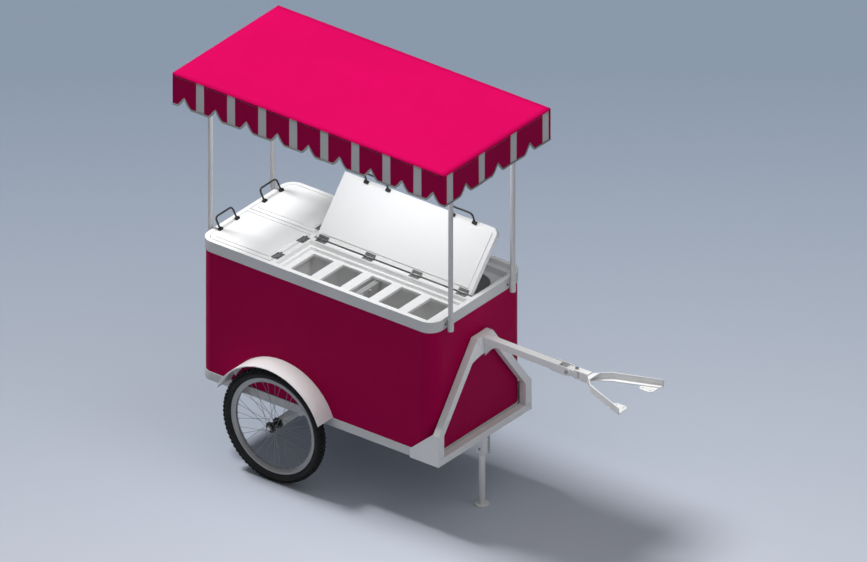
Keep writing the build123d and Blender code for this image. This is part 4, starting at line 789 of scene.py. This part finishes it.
# Spokes, laced as the CAD spokes are
SPOKES = 36
SPOKE_RADIUS = 0.001
SPOKE_CIRCLE = 0.026
SPOKE_CROSS = math.radians(52)
SPOKE_STAGGER = 0.0026
FLANGE_HALF = 0.029
RIM_SEAT = 0.0005
RIM_SPREAD = 0.00375
NIPPLE_LENGTH = 0.012
NIPPLE_RADIUS = 0.0019
HEAD_LENGTH = 0.0045
HEAD_RADIUS = 0.0016
SPOKE_SIDES = 8


def lace(mesh_data, centre, rim_inner):
    """Crossed spokes with a nipple at the rim and a head in the hub's flange"""
    for index in range(SPOKES):
        pair, odd = divmod(index, 2)
        flange = 1 if odd else -1
        lead = -1 if pair % 2 else 1
        angle = 2 * math.pi * index / SPOKES
        turn = angle + lead * SPOKE_CROSS
        hub_out = Vector((math.cos(turn), 0, math.sin(turn))) * SPOKE_CIRCLE
        rim_out = Vector((math.cos(angle), 0, math.sin(angle))) * (rim_inner + RIM_SEAT)
        start = centre + hub_out + Y_AXIS * (flange * FLANGE_HALF + lead * SPOKE_STAGGER)
        finish = centre + rim_out + Y_AXIS * flange * RIM_SPREAD
        heading = (finish - start).normalized()
        tube(mesh_data, [start, finish], SPOKE_RADIUS, SPOKE_SIDES)
        tube(mesh_data, [finish - heading * NIPPLE_LENGTH, finish], NIPPLE_RADIUS, SPOKE_SIDES)
        tube(mesh_data, [start, start - Y_AXIS * lead * HEAD_LENGTH], HEAD_RADIUS, SPOKE_SIDES)


for side in SIDES:
    body = "wheel_" + side
    low, high = corners("tyre_" + side)
    rim_low, rim_high = corners("rim_" + side)
    centre = (low + high) / 2
    radius = (high.z - low.z) / 2
    half = (high.y - low.y) / 2
    rim_radius = (rim_high.z - rim_low.z) / 2
    rim_half = (rim_high.y - rim_low.y) / 2

    tyre_mesh = bmesh.new()
    lathe(tyre_mesh, centre, tyre_profile(radius, half, rim_radius, rim_half), RING_STEPS)
    tread_knobs(tyre_mesh, centre, radius, half)
    tyre = piece("tyre_tread_" + side, tyre_mesh, body, "tyre_black", MATERIALS["tyre_black"])
    smooth(tyre, RING_ANGLE)
    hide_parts("tyre_" + side)

    hoop_mesh = bmesh.new()
    lathe(hoop_mesh, centre, rim_profile(rim_radius, rim_half), RING_STEPS)
    hoop = piece("rim_hoop_" + side, hoop_mesh, body, "rim_silver", MATERIALS["rim_silver"])
    smooth(hoop, RING_ANGLE)
    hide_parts("rim_" + side)

    spoke_mesh = bmesh.new()
    lace(spoke_mesh, centre, RIM_INNER)
    spokes = piece("laced_spokes_" + side, spoke_mesh, body, "bright_steel", MATERIALS["bright_steel"])
    smooth(spokes, BENT_ANGLE)
    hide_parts("spokes_" + side)

# Rolled edge round the outside of each fender
ROLL = 0.0028
ROLL_STEPS = 48
ROLL_SIDES = 10
for side, sign in SIDES.items():
    low, high = corners("fender_" + side)
    wheel = JOINTS["wheel_%s_spin" % side]["pos_m"]
    reach = high.z - wheel[2]
    start = math.asin((low.z - wheel[2]) / reach)
    edge_y = (low.y if sign < 0 else high.y) - sign * ROLL
    route = []
    for step in range(ROLL_STEPS + 1):
        angle = start + (math.pi - 2 * start) * step / ROLL_STEPS
        ring = reach - ROLL
        route.append((wheel[0] + ring * math.cos(angle), edge_y, wheel[2] + ring * math.sin(angle)))
    roll_mesh = bmesh.new()
    tube(roll_mesh, route, ROLL, ROLL_SIDES)
    roll = piece("fender_roll_" + side, roll_mesh, "cart", "counter_white", MATERIALS["counter_white"])
    smooth(roll, ROUND_ANGLE)

# Lid handles: a bent round bar on two moulded feet
HANDLE_HALF = 0.0675
HANDLE_RISE = 0.060
HANDLE_LEAN = 0.033
HANDLE_BEND = 0.020
HANDLE_RADIUS = 0.0048
HANDLE_SIDES = 16
BEND_STEPS = 8
FOOT_SIZE = (0.026, 0.018, 0.0118)
FOOT_EDGE = 0.003
FOOT_EDGE_STEPS = 3
FOOT_SCREW = 0.0085
SCREW_RADIUS = 0.0026
SCREW_RISE = 0.0012
SCREW_SIDES = 12


def handle_route(centre, along, lean):
    """The bar of a handle from one foot to the other"""
    reach = math.hypot(HANDLE_RISE, HANDLE_LEAN)
    route = [centre - along * HANDLE_HALF]
    for sign in (-1, 1):
        pivot = centre + along * sign * (HANDLE_HALF - HANDLE_BEND) + lean * (reach - HANDLE_BEND)
        arc = []
        for step in range(BEND_STEPS + 1):
            angle = math.pi / 2 * step / BEND_STEPS
            arc.append(pivot + HANDLE_BEND * (along * sign * math.cos(angle) + lean * math.sin(angle)))
        route += arc if sign < 0 else reversed(arc)
    route.append(centre + along * HANDLE_HALF)
    return route


def handles(name, body, centres, along, outward, upward, node):
    """Handles given by the middles of their feet, standing on a lid's top and leaning outwards"""
    bar_mesh = bmesh.new()
    foot_mesh = bmesh.new()
    lean = (upward * HANDLE_RISE + outward * HANDLE_LEAN).normalized()
    for centre in centres:
        tube(bar_mesh, handle_route(centre, along, lean), HANDLE_RADIUS, HANDLE_SIDES)
        for sign in (-1, 1):
            spot = centre + along * sign * HANDLE_HALF
            matrix = basis(along, upward.cross(along), upward, spot + upward * FOOT_SIZE[2] / 2)
            brick(foot_mesh, matrix, FOOT_SIZE, FOOT_EDGE, FOOT_EDGE_STEPS)
            for offset in (-FOOT_SCREW, FOOT_SCREW):
                head = spot + along * offset + upward * FOOT_SIZE[2]
                tube(foot_mesh, [head, head + upward * SCREW_RISE], SCREW_RADIUS, SCREW_SIDES)
    bars = piece(name + "_bars", bar_mesh, body, "handle_dark", MATERIALS["handle_dark"])
    feet = piece(name + "_feet", foot_mesh, body, "handle_dark", DARK_FOOT)
    smooth(bars, BENT_ANGLE)
    smooth(feet, BLOCK_ANGLE)
    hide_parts(node)


for side in SIDES:
    node = "rear_lid_%s_handle" % side
    low, high = corners(node)
    foot = Vector((high.x - FOOT_SIZE[1] / 2, (low.y + high.y) / 2, low.z))
    handles("rear_handle_" + side, "lid_" + side, [foot], Y_AXIS, -X_AXIS, Z_AXIS, node)

# The long lid stands open: its slope comes from its joint's lower limit, at which it lies closed
HINGE = Vector(JOINTS["long_lid"]["pos_m"])
LID_OPEN = -math.radians(JOINTS["long_lid"]["range_deg"][0])
LID_OUT = Vector((0, math.cos(LID_OPEN), math.sin(LID_OPEN)))
LID_UP = Vector((0, -math.sin(LID_OPEN), math.cos(LID_OPEN)))
AXIS_RISE = 0.006
HANDLE_EDGE = 0.012
LID_DEPTH = 0.357
low, high = corners("long_lid_handles")
end = HANDLE_HALF + FOOT_SIZE[0] / 2
spots = []
for place_x in (low.x + end, high.x - end):
    foot = Vector((place_x, HINGE.y, HINGE.z))
    spots.append(foot + LID_OUT * (LID_DEPTH - HANDLE_EDGE) - LID_UP * AXIS_RISE)
handles("long_handles", "lid_long", spots, X_AXIS, LID_OUT, LID_UP, "long_lid_handles")

# Screws in the fixed hinge leaves
LEAF_TOP = 0.002
LEAF_SCREW = 0.0019
LEAF_SCREW_RISE = 0.0006
LEAF_SCREW_SIDES = 10
LEAF_INSET = 0.0055
LEAF_SCREWS = (-0.022, 0, 0.022)
screw_mesh = bmesh.new()
for low, high in islands("hinge_bases"):
    size = high - low
    along = X_AXIS if size.x > size.y else Y_AXIS
    away = Y_AXIS if size.x > size.y else -X_AXIS
    middle = (low + high) / 2
    edge = middle - away * abs(size.dot(away)) / 2
    for place in LEAF_SCREWS:
        head = Vector((edge.x, edge.y, low.z + LEAF_TOP)) + away * LEAF_INSET + along * place
        tube(screw_mesh, [head, head + Z_AXIS * LEAF_SCREW_RISE], LEAF_SCREW, LEAF_SCREW_SIDES)
screws = piece("hinge_screws", screw_mesh, "cart", "bright_steel", SCREW)
smooth(screws, BLOCK_ANGLE)

# Stand spring: a coil of round wire with a hook at each end, with the turns and wire of the CAD spring
SPRING_TURNS = 8
SPRING_WIRE = 0.0016
SPRING_COIL = 0.0074
SPRING_HOOK = 0.0049
HOOK_RISE = 0.0062
SPRING_END = 0.009
TURN_STEPS = 20
HOOK_STEPS = 8
WIRE_SIDES = 10
low, high = corners("stand_spring")
spring_axis = Vector(((low.x + high.x) / 2, (low.y + high.y) / 2, 0))
spring_top = JOINTS["spring_swing"]["pos_m"][2]
spring_bottom = 2 * JOINTS["leg_fold"]["pos_m"][2] - spring_top
coil_low = spring_bottom + SPRING_END
coil_high = spring_top - SPRING_END


def hook(height, sign):
    """A half ring over a stud, long enough to clear it when the coil shortens"""
    route = []
    for step in range(HOOK_STEPS + 1):
        angle = math.pi * step / HOOK_STEPS
        rise = height + sign * HOOK_RISE * math.sin(angle)
        route.append(spring_axis + Vector((SPRING_HOOK * math.cos(angle), 0, rise)))
    return route


coil = []
for step in range(SPRING_TURNS * TURN_STEPS + 1):
    angle = 2 * math.pi * step / TURN_STEPS
    rise = coil_low + (coil_high - coil_low) * step / (SPRING_TURNS * TURN_STEPS)
    coil.append(spring_axis + Vector((SPRING_COIL * math.cos(angle), SPRING_COIL * math.sin(angle), rise)))
spring_route = list(reversed(hook(spring_bottom, -1))) + coil + hook(spring_top, 1)
spring_mesh = bmesh.new()
tube(spring_mesh, spring_route, SPRING_WIRE, WIRE_SIDES)
spring = piece("stand_spring_coil", spring_mesh, "spring", "bright_steel", MATERIALS["bright_steel"])
smooth(spring, ROUND_ANGLE)
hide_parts("stand_spring")
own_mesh(spring)

# Softened edges of the CAD pieces
BAND_EDGE = 0.0022
LID_EDGE = 0.0009
TUBE_EDGE = 0.0030
PLATE_EDGE = 0.0007
ROUND_STEPS = 3
FINE_STEPS = 2
soften(BAND_EDGE, ROUND_STEPS, "base_tray", "rim_band")
soften(LID_EDGE, FINE_STEPS, "counter_frame", "long_lid", "rear_lid_right", "rear_lid_left")
soften(TUBE_EDGE, ROUND_STEPS, "front_beam", "front_uprights", "front_head")
soften(TUBE_EDGE, ROUND_STEPS, "drawbar", "chassis_tubes", "canopy_frame")
soften(PLATE_EDGE, FINE_STEPS, "pan_tray", "tub_tray", "gusset_plates")
soften(PLATE_EDGE, FINE_STEPS, "fork", "fork_plates", "stand_bracket", "axle_nuts", "socket_bolts")
soften(PLATE_EDGE, FINE_STEPS, "pitch_pin", "yaw_pin", "stand_bolt")

# Round pieces with many flat sides
SMOOTHING = smoothing(FACET_ANGLE)
shade_round("hub_right", "hub_left", "fender_right", "fender_left", "poles", "pole_sockets")
shade_round("stand_leg", "stand_foot", "axle", "wheel_bearings", "coupling", "fork_stem", "hitch_cheeks")

# Camera at the photograph's angle, with the cabinet where the photograph has it
PHOTO_WIDTH, PHOTO_HEIGHT = 867, 562
PHOTO_ORIGIN = (361.6, 458.9)
CABINET_LOW, CABINET_HIGH = corners("base_tray")
CABINET_FOOT = Vector(((CABINET_LOW.x + CABINET_HIGH.x) / 2, 0, 0))
AZIMUTH = math.radians(37.6)
ELEVATION = math.radians(29.4)
VIEW_WIDTH = 4.279
VIEW_DISTANCE = 12
VIEW_CLIP = 60
towards = Vector((
    math.sin(AZIMUTH) * math.cos(ELEVATION),
    -math.cos(AZIMUTH) * math.cos(ELEVATION),
    math.sin(ELEVATION),
))
rightward = Vector((math.cos(AZIMUTH), math.sin(AZIMUTH), 0))
upward = towards.cross(rightward)
pixel = VIEW_WIDTH / PHOTO_WIDTH
shift_right = (PHOTO_ORIGIN[0] - PHOTO_WIDTH / 2) * pixel
shift_down = (PHOTO_ORIGIN[1] - PHOTO_HEIGHT / 2) * pixel
camera_data = bpy.data.cameras.new("camera")
camera_data.type = "ORTHO"
camera_data.ortho_scale = VIEW_WIDTH
camera_data.clip_end = VIEW_CLIP
camera = bpy.data.objects.new("camera", camera_data)
SCENE.collection.objects.link(camera)
camera.location = CABINET_FOOT - rightward * shift_right + upward * shift_down + towards * VIEW_DISTANCE
camera.rotation_euler = (-towards).to_track_quat("-Z", "Y").to_euler()
SCENE.camera = camera

# Pale floor, bluer and darker away from the camera
FLOOR_SIZE = 60
FLOOR_DROP = 0.0005
NEAR_TONE = srgb(208, 212, 222)
FAR_TONE = srgb(140, 154, 173)
FADE_START, FADE_END = -2.6, 4.2
floor_mesh = bmesh.new()
bmesh.ops.create_grid(floor_mesh, x_segments=1, y_segments=1, size=FLOOR_SIZE / 2)
floor_data = bpy.data.meshes.new("floor")
floor_mesh.to_mesh(floor_data)
floor_mesh.free()
floor = bpy.data.objects.new("floor", floor_data)
floor.location.z = -FLOOR_DROP
SCENE.collection.objects.link(floor)
floor_nodes = Nodes("pale_floor")
split = floor_nodes.add("ShaderNodeSeparateXYZ")
floor_nodes.link(floor_nodes.coords, split.inputs["Vector"])
along_y = floor_nodes.maths("MULTIPLY", split.outputs["Y"], math.cos(AZIMUTH))
along_x = floor_nodes.maths("MULTIPLY", split.outputs["X"], math.sin(AZIMUTH))
depth = floor_nodes.maths("SUBTRACT", along_y, along_x)
fade = floor_nodes.ramp(floor_nodes.span(depth, 0, 1, FADE_START, FADE_END), NEAR_TONE, FAR_TONE, 0, 1)
floor_nodes.link(fade, floor_nodes.shader.inputs["Base Color"])
floor_nodes.gloss(floor_nodes.noise(scale=14, detail=3), low=0.75, high=0.9)
floor_nodes.set(Specular_IOR_Level=0.05)
floor_data.materials.append(floor_nodes.material)

# Light: an even world, a soft key, a weak fill, and soft boxes under the canopy and over the drawbar
WORLD_STRENGTH = 0.1
world = bpy.data.worlds.new("studio")
world.use_nodes = True
world.node_tree.nodes["Background"].inputs["Color"].default_value = grey(FULL_LEVEL)
world.node_tree.nodes["Background"].inputs["Strength"].default_value = WORLD_STRENGTH
SCENE.world = world


def sun(name, source, strength, softness):
    """A sun shining from a direction"""
    data = bpy.data.lights.new(name, "SUN")
    data.energy = strength
    data.angle = math.radians(softness)
    obj = bpy.data.objects.new(name, data)
    SCENE.collection.objects.link(obj)
    obj.location = source
    obj.rotation_euler = (-Vector(source)).to_track_quat("-Z", "Y").to_euler()


sun("key", source=(-2.0, -0.12, 4.2), strength=2.4, softness=12)
sun("fill", source=(2.1, -0.9, 4.0), strength=0.66, softness=90)


def soft_box(name, place, length, width, power):
    """A soft lamp that shines downwards"""
    data = bpy.data.lights.new(name, "AREA")
    data.shape = "RECTANGLE"
    data.size = length
    data.size_y = width
    data.energy = power
    obj = bpy.data.objects.new(name, data)
    SCENE.collection.objects.link(obj)
    obj.location = place
    obj.visible_camera = False


BOX_DROP = 0.06
BOX_OFFSET = 0.2
BOX_FORWARD = 0.14
BOX_SHARE = 0.72
BOX_POWER = 6.6
box_place = (COVER_MIDDLE.x + BOX_FORWARD, COVER_MIDDLE.y - BOX_OFFSET, COVER_TOP - BOX_DROP)
soft_box("canopy_box", box_place, 2 * HALF_X * BOX_SHARE, HALF_Y, BOX_POWER)

FRONT_RISE = 0.42
FRONT_WIDTH = 0.36
FRONT_CLEAR = 0.16
FRONT_POWER = 1.2
DRAWBAR_LOW, DRAWBAR_HIGH = corners("drawbar")
FRONT_LENGTH = CAD_BOX[1][0] - DRAWBAR_LOW.x - FRONT_CLEAR
front_place = (CAD_BOX[1][0] - FRONT_LENGTH / 2, 0, DRAWBAR_HIGH.z + FRONT_RISE)
soft_box("front_box", front_place, FRONT_LENGTH, FRONT_WIDTH, FRONT_POWER)

# Colours are shown as they are
SCENE.view_settings.view_transform = "Standard"
